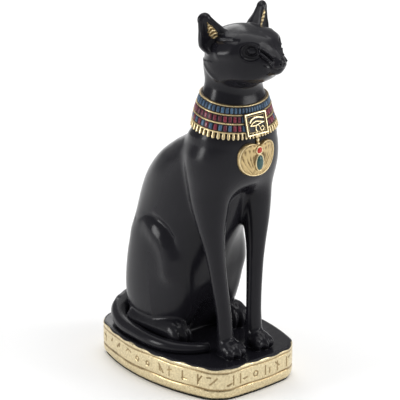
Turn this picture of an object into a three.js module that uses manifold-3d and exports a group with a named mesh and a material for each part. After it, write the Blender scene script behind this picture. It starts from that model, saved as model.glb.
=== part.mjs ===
// A seated Egyptian cat on a low plinth: a souvenir figurine cast in resin and painted by hand.
// Millimetres, +Z up. The cat looks along -Y, its own left side is +X, and the origin is the
// middle of the underside. The cat, its jewellery and the plinth are one casting. Two glass
// stones sit in the pendant, and a thin felt pad is glued under the plinth.
import * as THREE from "three";
import { mergeVertices } from "three/addons/utils/BufferGeometryUtils.js";
import Module from "manifold-3d";

// Plinth and pad
const PAD_THICKNESS = 0.8;
const PAD_INSET = 2.2;
const GLUE_GAP = 0.3;
const PLINTH_BOTTOM = PAD_THICKNESS + GLUE_GAP;
const PLINTH_TOP = 18;
const PLINTH_HALF_WIDTH = 26.9;
const PLINTH_HALF_LENGTH = 48.8;
const PLINTH_CORNER = 8.5;
const PLINTH_BOW_FRONT = 2.2;
const PLINTH_BOW_SIDE = 10.8;
const PLINTH_TUCK = 0.7;
const PLINTH_EASE = 0.6;
const CORNER_STEPS = 6;
const SIDE_STEPS = 6;

// Trunk and neck: height, front, back and half width of each oval section
const TRUNK = [
  [14, 4, 33, 20],
  [22, -1, 35, 21.5],
  [30, -6, 36.5, 23],
  [40, -12, 38, 24],
  [50, -16.5, 38.8, 24.6],
  [60, -18.6, 38.6, 24.8],
  [70, -21.5, 38, 24.8],
  [82, -26, 36.8, 24.6],
  [95, -30, 33.2, 24.1],
  [106, -33, 27.8, 23.4],
  [116, -37.5, 19.3, 22.4],
  [124, -42, 8.3, 21.7],
  [131, -44.8, -3.8, 21.6],
  [138, -44.4, -11.6, 21.6],
  [146, -42.6, -12.6, 20],
  [151, -41.7, -13.6, 18.5],
  [156, -40.5, -14.9, 16.3],
  [160, -39.9, -15.8, 15.1],
  [166, -39.5, -16.4, 14.4],
  [176, -42, -17, 15],
];
const TRUNK_BOTTOM = 14;
const TRUNK_TOP = 172;

// Sections are ovals below the shoulders and squarer, with a flat front, from the collar up
const OVAL = 2;
const SQUARER = 2.35;
const SQUARER_FROM = 120;
const SQUARER_ABOVE = 138;

// Foreleg and upper arm: height, sideways place, fore-and-aft place, half width, half depth
const FORELEG = [
  [14, 9.6, -35, 4.6, 5.1],
  [26, 9.8, -34, 4.3, 4.4],
  [40, 10.4, -33, 3.9, 4],
  [62, 12.7, -31.1, 4.3, 4.5],
  [74, 14.1, -30.1, 5.1, 5.5],
  [86, 15.1, -28.6, 6.7, 7.7],
  [98, 14.6, -26.8, 8.7, 10.6],
  [110, 13.8, -25.5, 10.1, 12.4],
  [124, 13, -25, 10.2, 12],
  [132, 11, -26, 8, 10],
];
const FORELEG_TOP = 132;

// Chest: the middle and the half sizes of a rounded block
const CHEST_CENTRE = [0, -28.4, 126.5];
const CHEST_HALF = [23.7, 17.6, 22];

// Haunch: middle and half sizes, how full its sides are, and how far it leans forward with height
const HAUNCH_CENTRE = [15, 9.5, 52];
const HAUNCH_HALF = [12.3, 24.6, 36.5];
const HAUNCH_FULLNESS = 2.4;
const HAUNCH_LEAN = 0.12;

// Crease round the thigh, as fore-and-aft places and heights
// The lower front of the haunch is tucked in by this share of the distances below and in front
const HAUNCH_TUCK = 0.006;
const TUCK_BELOW = 58;
const TUCK_IN_FRONT = 6;
const CREASE = [[23, 80], [13.6, 84.5], [7, 85.6], [2, 84.8], [-3.5, 81.8], [-7.5, 77], [-9.8, 71], [-10.8, 64]];
const CREASE_DEPTH = 1.1;
const CREASE_WIDTH = 2;
const CREASE_RISE = [66, 80];
const CREASE_BACK = { from: 4, to: 16, share: 0.75 };
const SWELLING = { height: 1.4, width: 5, back: 3.5, down: 6.5 };
const CREASE_FROM = 12;
const CREASE_FULL = 16;

// Feet
const PAW = [9.6, -37.5, 22];
const PAW_HALF = [6.4, 7.2, 4.9];
const PAW_TOE = { y: -42.1, z: 20.8, half: [2.1, 3.4, 3.2] };
const HIND_HEEL = [20.5, 22, 24];
const HIND_ARCH = [20.2, -6.6, 25.2];
const HIND_TOE = { x: 20.2, y: -10.4, z: 22.6, half: [2.5, 4.6, 6] };
const TOE_STEP = 4;
const TOE_ARC = 0.07;

// Tail: centre line along the cat's right side and the thickness at each point
const TAIL = [
  [2, 36, 30, 8],
  [-9, 40.9, 26.5, 6.3],
  [-20, 39, 24, 5.1],
  [-28.2, 27, 21.8, 4.2],
  [-31.2, 10, 21.2, 3.7],
  [-31.4, -4, 21, 3.5],
  [-28.2, -15, 20.8, 3.3],
  [-21.5, -22.5, 20.6, 3.1],
  [-13.5, -25.5, 20.4, 2.9],
];
const TAIL_STEPS = 24;
const TAIL_SIDES = 9;

// Eye: its middle, and the flat direction along it towards the nose. The planes of the face slant
// with the eyes.
const EYE = [8.9, -51.1, 182.5];
const EYE_ALONG = [-0.656, -0.755];
const FACE_WEDGE = 41.9;
const BROW_HEIGHT = 184.2;

// Ears: foot, root inside the head, and the directions of the shell, its rise and its hollow
const EAR_BASE = [15.1, -29.5, 185.8];
const EAR_ROOT = [9.5, -30.5, 176.5];
const EAR_LENGTH = 10.7;
const EAR_FACING = [0.33, -0.94, 0.05];
const EAR_RISE = [5.9, 0.5, 13.2];
const HOLLOW_FACING = [0.5, -0.86, 0.05];

// Collar, plaque and pendant
const NECK_AXIS_Y = -29;
const COLLAR_TOP = 155.2;
const COLLAR_BOTTOM = 138.6;
const COLLAR_TILT = 0.17;
const COLLAR_RADIUS = 17;
const COLLAR_STEPS = 34;
const PLAQUE_HALF_WIDTH = 7.2;
const PLAQUE_TOP = 148.6;
const PLAQUE_BOTTOM = 137.2;
const PLAQUE_MIDDLE = (PLAQUE_TOP + PLAQUE_BOTTOM) / 2;
const PLAQUE_FRAME = 1.5;
const PLAQUE_LEAN = 0.25;
const PENDANT_MIDDLE = 125;
const PENDANT_FACE = -47.4;
const PENDANT_LEAN = 0.07;
const PENDANT_CURVE = 0.016;
const PENDANT_DOME = 0.6;
const PENDANT_EDGE = 0.5;
const PENDANT_SUNK = 2.5;
const RED_STONE = { x: -0.8, z: 129.9, half: [1.75, 1.75], proud: 1.4 };
const GREEN_STONE = { x: 0, z: 123.2, half: [2.4, 4.1], proud: 1.6 };
const STONE_GAP = 0.3;
const STONE_SEAT = 0.3;
const STONE_DEPTH = 0.5;

// Grid planes of the skin, as a first value, then pairs of last value and spacing. The head is
// finer than the body, and the two meet inside the collar.
const BODY_GRID = {
  x: [0, [36, 3.6]],
  y: [-58, [-26, 3.3], [54, 6]],
  z: [11.5, [34, 2.8], [155, 7]],
};
const HEAD_GRID = {
  x: [0, [16, 2.2], [28, 2.6]],
  y: [-71, [-42, 2.4], [-6, 3.8]],
  z: [138, [168, 4], [190, 2], [199.6, 1.9], [203, 3.4]],
};
const BODY_CUT = 150;
const HEAD_CUT = 144;
const HEAD_TAPER_BELOW = 149;
const HEAD_TAPER = 0.3;

// The skin is cut flat at this height, hidden inside the plinth
const FLAT_BELOW = 15;

// Smallest of two distances with a soft fillet of about the given size between them
function blend(a, b, fillet) {
  const h = THREE.MathUtils.clamp(0.5 + 0.5 * (b - a) / fillet, 0, 1);
  return b + (a - b) * h - fillet * h * (1 - h);
}

// Distance to an ellipsoid, tipped about the X axis by a number of degrees
function ellipsoid(x, y, z, centre, half, tip = 0) {
  const c = Math.cos(THREE.MathUtils.degToRad(tip));
  const s = Math.sin(THREE.MathUtils.degToRad(tip));
  const px = x - centre[0];
  const py = (y - centre[1]) * c + (z - centre[2]) * s;
  const pz = (z - centre[2]) * c - (y - centre[1]) * s;
  const near = Math.hypot(px / half[0], py / half[1], pz / half[2]);
  const slope = Math.hypot(px / half[0] ** 2, py / half[1] ** 2, pz / half[2] ** 2);
  return near * (near - 1) / (slope + 1e-9);
}

// Distance to a round bar that tapers from one end to the other
function bar(x, y, z, a, b, radiusA, radiusB, widen = 1) {
  const d = [b[0] - a[0], b[1] - a[1], b[2] - a[2]];
  const q = [x - a[0], y - a[1], z - a[2]];
  const along = (q[0] * d[0] + q[1] * d[1] + q[2] * d[2]) / (d[0] ** 2 + d[1] ** 2 + d[2] ** 2);
  const t = THREE.MathUtils.clamp(along, 0, 1);
  const off = Math.hypot((q[0] - t * d[0]) / widen, q[1] - t * d[1], q[2] - t * d[2]);
  return off - (radiusA + (radiusB - radiusA) * t);
}

// Smooth curve through one column of a table whose first column is the height
function column(table, height, index) {
  const h = THREE.MathUtils.clamp(height, table[0][0], table[table.length - 1][0]);
  let i = 0;
  while (i < table.length - 2 && h > table[i + 1][0]) {
    i += 1;
  }
  const slope = (k) => {
    const lower = Math.max(k - 1, 0);
    const upper = Math.min(k + 1, table.length - 1);
    return (table[upper][index] - table[lower][index]) / (table[upper][0] - table[lower][0]);
  };
  const width = table[i + 1][0] - table[i][0];
  const u = (h - table[i][0]) / width;
  return (1 + 2 * u) * (1 - u) ** 2 * table[i][index] + u * (1 - u) ** 2 * width * slope(i)
    + u * u * (3 - 2 * u) * table[i + 1][index] + u * u * (u - 1) * width * slope(i + 1);
}

// Distance to oval sections stacked upwards
function stack(x, y, z, centreX, centreY, halfWidth, halfDepth, bottom, top, power = OVAL) {
  const across = Math.abs((x - centreX) / halfWidth) ** power;
  const reach = (across + Math.abs((y - centreY) / halfDepth) ** power) ** (1 / power);
  const side = (reach - 1) * Math.min(halfWidth, halfDepth);
  return Math.max(side, bottom - z, z - top);
}

function trunk(x, y, z) {
  const front = column(TRUNK, z, 1);
  const back = column(TRUNK, z, 2);
  const power = OVAL + (SQUARER - OVAL) * THREE.MathUtils.smoothstep(z, SQUARER_FROM, SQUARER_ABOVE);
  const halfDepth = (back - front) / 2;
  const middle = (front + back) / 2;
  return stack(x, y, z, 0, middle, column(TRUNK, z, 3), halfDepth, TRUNK_BOTTOM, TRUNK_TOP, power);
}

// Distance to a rounded block: the higher the power, the fuller its sides
function roundedBlock(x, y, z, centre, half, power, size) {
  const reach = Math.abs((x - centre[0]) / half[0]) ** power + Math.abs((y - centre[1]) / half[1]) ** power
    + Math.abs((z - centre[2]) / half[2]) ** power;
  return (reach ** (1 / power) - 1) * size;
}

function haunch(side, y, z) {
  const leaned = y + HAUNCH_LEAN * (z - HAUNCH_CENTRE[2]);
  const tuck = HAUNCH_TUCK * Math.max(TUCK_BELOW - z, 0) * Math.max(TUCK_IN_FRONT - y, 0);
  return roundedBlock(side + tuck, leaned, z, HAUNCH_CENTRE, HAUNCH_HALF, HAUNCH_FULLNESS, HAUNCH_HALF[0]);
}

// Squared distance to the line of the crease, seen from the side
function nearCrease(y, z) {
  let near = Infinity;
  for (let i = 0; i < CREASE.length - 1; i += 1) {
    const [a, b] = [CREASE[i], CREASE[i + 1]];
    const d = [b[0] - a[0], b[1] - a[1]];
    const along = ((y - a[0]) * d[0] + (z - a[1]) * d[1]) / (d[0] ** 2 + d[1] ** 2);
    const t = THREE.MathUtils.clamp(along, 0, 1);
    near = Math.min(near, (y - a[0] - t * d[0]) ** 2 + (z - a[1] - t * d[1]) ** 2);
  }
  return near;
}

// Depth of the crease round the thigh: a soft groove, with a swelling of the thigh below it
function crease(side, y, z) {
  const { smoothstep } = THREE.MathUtils;
  const groove = CREASE_DEPTH * Math.exp(-nearCrease(y, z) / CREASE_WIDTH ** 2) * smoothstep(z, ...CREASE_RISE);
  const near = nearCrease(y - SWELLING.back, z + SWELLING.down);
  const swelling = SWELLING.height * Math.exp(-near / SWELLING.width ** 2);
  const outside = smoothstep(side, CREASE_FROM, CREASE_FULL);
  const fading = 1 - CREASE_BACK.share * smoothstep(y, CREASE_BACK.from, CREASE_BACK.to);
  return (groove - swelling) * outside * fading;
}

function foreleg(side, y, z) {
  const at = [1, 2, 3, 4].map((index) => column(FORELEG, z, index));
  return stack(side, y, z, at[0], at[1], at[2], at[3], TRUNK_BOTTOM, FORELEG_TOP);
}

// Front paw with three toes
function frontPaw(side, y, z) {
  let paw = ellipsoid(side, y, z, PAW, PAW_HALF);
  for (const toe of [-TOE_STEP, 0, TOE_STEP]) {
    const centre = [PAW[0] + toe, PAW_TOE.y + TOE_ARC * toe * toe, PAW_TOE.z];
    paw = blend(paw, ellipsoid(side, y, z, centre, PAW_TOE.half), 0.7);
  }
  return paw;
}

// Hind foot lying flat along the plinth, with toes
function hindFoot(side, y, z) {
  let foot = bar(side, y, z, HIND_HEEL, HIND_ARCH, 7.2, 6.6);
  for (const toe of [-TOE_STEP, 0, TOE_STEP]) {
    const centre = [HIND_TOE.x + toe, HIND_TOE.y + TOE_ARC * toe * toe, HIND_TOE.z];
    foot = blend(foot, ellipsoid(side, y, z, centre, HIND_TOE.half), 0.8);
  }
  return foot;
}

// A flattened horn in the ear's own axes: across, facing and rising
function earHorn(side, y, z, facing, wide, tip, flat, lift, length) {
  const n = new THREE.Vector3(...facing).normalize();
  const u = new THREE.Vector3(...EAR_RISE);
  u.addScaledVector(n, -u.dot(n)).normalize();
  const w = new THREE.Vector3().crossVectors(u, n);
  const q = new THREE.Vector3(side - EAR_BASE[0], y - EAR_BASE[1], z - EAR_BASE[2]);
  const depth = (q.dot(n) - lift) / flat;
  return bar(q.dot(w), depth, q.dot(u), [0, 0, 0], [0, 0, length], wide, tip) * (flat + 0.2);
}

// One ear: a horn on a root inside the head, open to the front and a little outward
function ear(side, y, z) {
  const shell = earHorn(side, y, z, EAR_FACING, 7.8, 3.6, 0.66, 0, EAR_LENGTH);
  const solid = blend(shell, bar(side, y, z, EAR_BASE, EAR_ROOT, 6.6, 5), 3);
  const hollow = earHorn(side, y, z, HOLLOW_FACING, 6.3, 2, 0.5, 3.8, EAR_LENGTH - 0.3);
  return -blend(-solid, hollow, 0.6);
}

// Skull, jaw and brows cut by the planes of cheek and face, then muzzle, chin, nose and eyes
function head(x, y, z) {
  const side = Math.abs(x);
  let form = ellipsoid(x, y, z, [0, -35.6, 178], [18.6, 20.8, 13.6]);
  form = blend(form, ellipsoid(x, y, z, [0, -36.5, 171.6], [17, 21, 10.2], -9), 3);
  form = blend(form, ellipsoid(side, y, z, [5.5, -45, 182.6], [9.5, 10, 6.6]), 4);
  const cheek = 0.965 * side - 0.22 * (y + 36) - 0.1 * (z - 175) - 17.1;
  const slant = -EYE_ALONG[1] * side + EYE_ALONG[0] * y;
  const wedge = slant - FACE_WEDGE + 0.1 * Math.max(z - BROW_HEIGHT, 0) ** 2;
  form = -blend(-form, -cheek, 3);
  form = -blend(-form, -wedge, 3);
  form = blend(form, bar(x, y, z, [0, -49, 176.5], [0, -58.4, 176.2], 8, 4.5), 4);
  form = blend(form, bar(x, y, z, [0, -51, 182.3], [0, -61.3, 178.2], 4, 2.2), 4);
  form = blend(form, ellipsoid(side, y, z, [2.5, -59, 176.1], [2.7, 3.8, 2.6]), 1.2);
  form = blend(form, ellipsoid(x, y, z, [0, -57.7, 173.6], [3.9, 4.2, 2.6]), 1.8);
  const own = [side - EYE[0], y - EYE[1]];
  const along = own[0] * EYE_ALONG[0] + own[1] * EYE_ALONG[1];
  const out = own[1] * EYE_ALONG[0] - own[0] * EYE_ALONG[1];
  form = -blend(-form, ellipsoid(along, out, z - EYE[2], [-0.8, 0.9, -0.2], [6.4, 2.3, 5]), 0.7);
  return blend(form, ellipsoid(along, out, z - EYE[2], [0, -1.5, 0], [3.6, 2, 2.8]), 0.3);
}

// The whole cat without its jewellery: negative inside, positive outside
function cat(x, y, z) {
  const side = Math.abs(x);
  const chest = roundedBlock(x, y, z, CHEST_CENTRE, CHEST_HALF, SQUARER, CHEST_HALF[1]);
  let form = blend(trunk(x, y, z), blend(chest, foreleg(side, y, z), 7), 2.5);
  form = blend(form, haunch(side, y, z), 4) + crease(side, y, z);
  form = blend(form, hindFoot(side, y, z), 1.2);
  form = blend(form, frontPaw(side, y, z), 1.8);
  form = blend(form, head(x, y, z), 5.5);
  return blend(form, ear(side, y, z), 1);
}

function planes(rule) {
  const list = [rule[0]];
  for (const [last, spacing] of rule.slice(1)) {
    const from = list[list.length - 1];
    const count = Math.round((last - from) / spacing);
    for (let i = 1; i <= count; i += 1) {
      list.push(from + (last - from) * i / count);
    }
  }
  return list;
}

// Slides a point onto the surface where the form's distance is zero
function settle(form, point) {
  const e = 0.05;
  for (let i = 0; i < 3; i += 1) {
    const [x, y, z] = point;
    const d = form(x, y, z);
    const g = [
      (form(x + e, y, z) - form(x - e, y, z)) / (2 * e),
      (form(x, y + e, z) - form(x, y - e, z)) / (2 * e),
      (form(x, y, z + e) - form(x, y, z - e)) / (2 * e),
    ];
    const size = g[0] ** 2 + g[1] ** 2 + g[2] ** 2 + 1e-9;
    for (let k = 0; k < 3; k += 1) {
      point[k] -= THREE.MathUtils.clamp(d * g[k] / size, -0.8, 0.8);
    }
  }
}

// Skin of a form on a grid of planes: one vertex in each cell that the surface crosses, and one
// quad across each grid edge that it crosses
function skin(form, grid) {
  const half = planes(grid.x);
  const xs = [...half.slice(1).reverse().map((x) => -x), ...half];
  const ys = planes(grid.y);
  const zs = planes(grid.z);
  const [nx, ny, nz] = [xs.length, ys.length, zs.length];
  const at = (i, j, k) => (i * ny + j) * nz + k;
  const value = new Float64Array(nx * ny * nz);
  for (let i = 0; i < nx; i += 1) {
    for (let j = 0; j < ny; j += 1) {
      for (let k = 0; k < nz; k += 1) {
        const edge = i === 0 || j === 0 || k === 0 || i === nx - 1 || j === ny - 1 || k === nz - 1;
        value[at(i, j, k)] = edge ? 1 : form(xs[i], ys[j], zs[k]);
      }
    }
  }
  const cell = new Int32Array(nx * ny * nz).fill(-1);
  const positions = [];
  for (let i = 0; i < nx - 1; i += 1) {
    for (let j = 0; j < ny - 1; j += 1) {
      for (let k = 0; k < nz - 1; k += 1) {
        const sum = [0, 0, 0];
        let crossings = 0;
        for (let corner = 0; corner < 8; corner += 1) {
          const a = [i + (corner & 1), j + ((corner >> 1) & 1), k + ((corner >> 2) & 1)];
          for (let axis = 0; axis < 3; axis += 1) {
            if ((corner >> axis) & 1) {
              continue;
            }
            const b = a.slice();
            b[axis] += 1;
            const va = value[at(...a)];
            const vb = value[at(...b)];
            if ((va < 0) === (vb < 0)) {
              continue;
            }
            const t = va / (va - vb);
            const pa = [xs[a[0]], ys[a[1]], zs[a[2]]];
            const pb = [xs[b[0]], ys[b[1]], zs[b[2]]];
            for (let n = 0; n < 3; n += 1) {
              sum[n] += pa[n] + (pb[n] - pa[n]) * t;
            }
            crossings += 1;
          }
        }
        if (crossings > 0) {
          cell[at(i, j, k)] = positions.length / 3;
          const point = sum.map((total) => total / crossings);
          if (point[2] > FLAT_BELOW) {
            settle(form, point);
          }
          positions.push(...point);
        }
      }
    }
  }
  const index = [];
  const steps = [[1, 0, 0], [0, 1, 0], [0, 0, 1]];
  for (let i = 0; i < nx - 1; i += 1) {
    for (let j = 0; j < ny - 1; j += 1) {
      for (let k = 0; k < nz - 1; k += 1) {
        for (let axis = 0; axis < 3; axis += 1) {
          const here = value[at(i, j, k)] < 0;
          const next = value[at(i + steps[axis][0], j + steps[axis][1], k + steps[axis][2])] < 0;
          if (here === next) {
            continue;
          }
          const u = steps[(axis + 1) % 3];
          const v = steps[(axis + 2) % 3];
          const quad = [[0, 0], [1, 0], [1, 1], [0, 1]].map(([p, q]) => (
            cell[at(i - p * u[0] - q * v[0], j - p * u[1] - q * v[1], k - p * u[2] - q * v[2])]
          ));
          const turn = here ? quad : quad.reverse();
          index.push(turn[0], turn[1], turn[2], turn[0], turn[2], turn[3]);
        }
      }
    }
  }
  const geometry = new THREE.BufferGeometry();
  geometry.setAttribute("position", new THREE.Float32BufferAttribute(positions, 3));
  geometry.setIndex(index);
  return geometry;
}

const wasm = await Module();
wasm.setup();

function toSolid(geometry) {
  const bare = geometry.clone();
  bare.deleteAttribute("normal");
  bare.deleteAttribute("uv");
  const merged = mergeVertices(bare, 1e-4);
  return new wasm.Manifold(new wasm.Mesh({
    numProp: 3,
    vertProperties: new Float32Array(merged.attributes.position.array),
    triVerts: new Uint32Array(merged.index.array),
  }));
}

function toGeometry(solid) {
  const mesh = solid.getMesh();
  const geometry = new THREE.BufferGeometry();
  geometry.setAttribute("position", new THREE.BufferAttribute(mesh.vertProperties, 3));
  geometry.setIndex(new THREE.BufferAttribute(mesh.triVerts, 1));
  geometry.computeVertexNormals();
  return geometry;
}

// Closed ring of profile points carried around a full turn: place(turn, step) gives each point
function loopSurface(turns, sides, place) {
  const positions = [];
  const index = [];
  for (let i = 0; i < turns; i += 1) {
    for (let j = 0; j < sides; j += 1) {
      positions.push(...place(i, j));
      const a = i * sides + j;
      const b = ((i + 1) % turns) * sides + j;
      const c = ((i + 1) % turns) * sides + (j + 1) % sides;
      const d = i * sides + (j + 1) % sides;
      index.push(a, c, b, a, d, c);
    }
  }
  const geometry = new THREE.BufferGeometry();
  geometry.setAttribute("position", new THREE.Float32BufferAttribute(positions, 3));
  geometry.setIndex(index);
  return geometry;
}

// Plinth outline: a rounded rectangle whose sides bow outward a little
function plinthOutline(inset) {
  const halfX = PLINTH_HALF_WIDTH - inset;
  const halfY = PLINTH_HALF_LENGTH - inset;
  const corner = PLINTH_CORNER - inset;
  const points = [];
  const corners = [[1, -1], [1, 1], [-1, 1], [-1, -1]];
  corners.forEach(([sx, sy], k) => {
    const start = (k - 1) * Math.PI / 2;
    for (let i = 0; i <= CORNER_STEPS; i += 1) {
      const angle = start + i / CORNER_STEPS * Math.PI / 2;
      const x = sx * (halfX - corner) + corner * Math.cos(angle);
      const y = sy * (halfY - corner) + corner * Math.sin(angle);
      points.push([x, y]);
    }
    const next = corners[(k + 1) % 4];
    const endAngle = start + Math.PI / 2;
    const from = points[points.length - 1];
    const to = [
      next[0] * (halfX - corner) + corner * Math.cos(endAngle),
      next[1] * (halfY - corner) + corner * Math.sin(endAngle),
    ];
    for (let i = 1; i < SIDE_STEPS; i += 1) {
      const t = i / SIDE_STEPS;
      points.push([from[0] + (to[0] - from[0]) * t, from[1] + (to[1] - from[1]) * t]);
    }
  });
  return points.map(([x, y]) => [
    x + Math.sign(x) * PLINTH_BOW_SIDE * Math.max(0, 1 - (y / halfY) ** 2),
    y + Math.sign(y) * PLINTH_BOW_FRONT * Math.max(0, 1 - (x / halfX) ** 2),
  ]);
}

// Solid from outlines stacked upwards, closed by a fan of triangles at each end
function loft(levels) {
  const sides = levels[0].outline.length;
  const positions = [];
  const index = [];
  for (const { outline, z } of levels) {
    for (const [x, y] of outline) {
      positions.push(x, y, z);
    }
  }
  for (let k = 0; k < levels.length - 1; k += 1) {
    for (let i = 0; i < sides; i += 1) {
      const a = k * sides + i;
      const b = k * sides + (i + 1) % sides;
      index.push(a, b, b + sides, a, b + sides, a + sides);
    }
  }
  const low = levels.length * sides;
  positions.push(0, 0, levels[0].z, 0, 0, levels[levels.length - 1].z);
  for (let i = 0; i < sides; i += 1) {
    const j = (i + 1) % sides;
    const top = (levels.length - 1) * sides;
    index.push(low, j, i, low + 1, top + i, top + j);
  }
  const geometry = new THREE.BufferGeometry();
  geometry.setAttribute("position", new THREE.Float32BufferAttribute(positions, 3));
  geometry.setIndex(index);
  return geometry;
}

// The tail: a round tube along a smooth line, thick at its root and rounded at its tip
function tail() {
  const line = new THREE.CatmullRomCurve3(TAIL.map((at) => new THREE.Vector3(at[0], at[1], at[2])));
  const positions = [];
  const index = [];
  for (let i = 0; i <= TAIL_STEPS; i += 1) {
    const t = i / TAIL_STEPS;
    const k = Math.min(Math.floor(t * (TAIL.length - 1)), TAIL.length - 2);
    const taper = THREE.MathUtils.lerp(TAIL[k][3], TAIL[k + 1][3], t * (TAIL.length - 1) - k);
    const radius = i === TAIL_STEPS ? taper * 0.6 : taper;
    const middle = line.getPoint(t);
    const along = line.getTangent(t);
    const outward = new THREE.Vector3(along.y, -along.x, 0).normalize();
    const upward = new THREE.Vector3().crossVectors(outward, along);
    for (let j = 0; j < TAIL_SIDES; j += 1) {
      const turn = j / TAIL_SIDES * 2 * Math.PI;
      const point = middle.clone();
      point.addScaledVector(outward, radius * Math.cos(turn));
      point.addScaledVector(upward, radius * Math.sin(turn));
      positions.push(point.x, point.y, point.z);
    }
  }
  const root = line.getPoint(0);
  const tip = line.getPoint(1).addScaledVector(line.getTangent(1), TAIL[TAIL.length - 1][3] * 0.6);
  positions.push(root.x, root.y, root.z, tip.x, tip.y, tip.z);
  const last = positions.length / 3;
  for (let j = 0; j < TAIL_SIDES; j += 1) {
    const next = (j + 1) % TAIL_SIDES;
    for (let i = 0; i < TAIL_STEPS; i += 1) {
      const a = i * TAIL_SIDES;
      const b = a + TAIL_SIDES;
      index.push(a + j, b + next, a + next, a + j, b + j, b + next);
    }
    index.push(last - 2, j, next, last - 1, TAIL_STEPS * TAIL_SIDES + next, TAIL_STEPS * TAIL_SIDES + j);
  }
  const geometry = new THREE.BufferGeometry();
  geometry.setAttribute("position", new THREE.Float32BufferAttribute(positions, 3));
  geometry.setIndex(index);
  return geometry;
}

function plinth() {
  return loft([
    { z: PLINTH_BOTTOM, outline: plinthOutline(PLINTH_TUCK) },
    { z: PLINTH_BOTTOM + 4, outline: plinthOutline(0) },
    { z: PLINTH_TOP - PLINTH_EASE, outline: plinthOutline(0) },
    { z: PLINTH_TOP, outline: plinthOutline(PLINTH_EASE) },
  ]);
}

function feltPad() {
  const outline = plinthOutline(PAD_INSET);
  return loft([{ z: 0, outline }, { z: PAD_THICKNESS, outline }]);
}

// Distance from the neck's upright axis to the skin, in a direction and at a height
function neckReach(angle, z) {
  let inside = 6;
  let outside = 42;
  for (let i = 0; i < 22; i += 1) {
    const middle = (inside + outside) / 2;
    const x = middle * Math.sin(angle);
    const y = NECK_AXIS_Y - middle * Math.cos(angle);
    if (cat(x, y, z) < 0) {
      inside = middle;
    } else {
      outside = middle;
    }
  }
  return inside;
}

// Place on the collar: share down from its top edge, and height above the skin
function collarPoint(angle, share, proud) {
  const lean = -COLLAR_TILT * COLLAR_RADIUS * Math.cos(angle);
  const z = COLLAR_TOP + (COLLAR_BOTTOM - COLLAR_TOP) * share + lean;
  const reach = neckReach(angle, z) + proud;
  return [reach * Math.sin(angle), NECK_AXIS_Y - reach * Math.cos(angle), z];
}

// The broad collar: gold lines stand proud of the three rows of tiles, above a fringe of drops
function collar() {
  const profile = [
    [0, -4],
    [0, 1.2],
    [0.1, 1.5],
    [0.13, 1.2],
    [0.32, 1.2],
    [0.36, 1.5],
    [0.4, 1.2],
    [0.57, 1.2],
    [0.61, 1.5],
    [0.65, 1.2],
    [0.78, 1.2],
    [0.82, 1.5],
    [1, 1],
    [1, -4],
  ];
  return loopSurface(COLLAR_STEPS, profile.length, (i, j) => {
    const [share, proud] = profile[j];
    return collarPoint(i / COLLAR_STEPS * 2 * Math.PI, share, proud);
  });
}

// Where the cat's front lies at a sideways place and a height
function frontOf(x, z) {
  let outside = -75;
  let inside = NECK_AXIS_Y;
  for (let i = 0; i < 22; i += 1) {
    const middle = (inside + outside) / 2;
    if (cat(x, middle, z) < 0) {
      inside = middle;
    } else {
      outside = middle;
    }
  }
  return inside;
}

// Plate from an outline of sideways places and heights. It faces forward and leans back.
function extrude(points, y, thickness) {
  const shape = new THREE.Shape(points.map(([x, z]) => new THREE.Vector2(x, z - PLAQUE_MIDDLE)));
  const geometry = new THREE.ExtrudeGeometry(shape, { depth: thickness, bevelEnabled: false });
  geometry.rotateX(Math.PI / 2);
  geometry.applyMatrix4(new THREE.Matrix4().makeShear(0, 0, 0, 0, 0, PLAQUE_LEAN));
  geometry.translate(0, y, PLAQUE_MIDDLE);
  return geometry;
}

// Square plaque with a raised frame and a traditional protective eye in low relief
function plaqueParts() {
  const w = PLAQUE_HALF_WIDTH;
  const middle = PLAQUE_MIDDLE;
  const face = frontOf(0, middle) - 2.2;
  const back = face + 5;
  const rectangle = (half, low, high) => [[-half, low], [half, low], [half, high], [-half, high]];
  const plate = toSolid(extrude(rectangle(w, PLAQUE_BOTTOM, PLAQUE_TOP), back, back - face));
  const inner = rectangle(w - PLAQUE_FRAME, PLAQUE_BOTTOM + PLAQUE_FRAME, PLAQUE_TOP - PLAQUE_FRAME);
  let solid = plate.subtract(toSolid(extrude(inner, face + 0.7, 2)));
  const almond = [];
  for (let i = 0; i < 14; i += 1) {
    const t = i / 14 * 2 * Math.PI;
    almond.push([3.6 * Math.cos(t), middle + 1.55 * Math.sin(t) * Math.abs(Math.sin(t)) ** 0.3]);
  }
  const brow = [[-4, 2.1], [0, 2.7], [4.4, 2.2], [4.4, 3.1], [0, 3.7], [-4, 3.1]];
  const drop = [[-1.6, -1], [-0.6, -1], [-0.9, -3.6], [-2, -3.6]];
  const curl = [[0.6, -1], [1.6, -1], [4.6, -2.8], [4.2, -3.7], [3.2, -3.2]];
  for (const figure of [brow, drop, curl]) {
    const place = figure.map(([x, z]) => [x, middle + z]);
    solid = solid.add(toSolid(extrude(place, face + 1.2, 1)));
  }
  return solid.add(toSolid(extrude(almond, face + 1.2, 1.1)));
}

// Outline of the heart-shaped pendant, from the notch round the cat's left lobe and back
function pendantOutline() {
  const right = new THREE.Path();
  right.moveTo(0, 131.3);
  right.bezierCurveTo(1.6, 133.6, 6.4, 135.2, 9.8, 132.2);
  right.bezierCurveTo(14, 128.3, 13, 115.9, 0, 115.9);
  const half = right.getPoints(8);
  const left = half.slice(1, -1).reverse().map((point) => new THREE.Vector2(-point.x, point.y));
  return [...half, ...left];
}

// Face of the pendant at a place: a plate that leans with the chest and bends back to its sides
function plateFace(x, z) {
  return PENDANT_FACE - PENDANT_LEAN * (z - PENDANT_MIDDLE) + PENDANT_CURVE * x ** 2;
}

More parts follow.
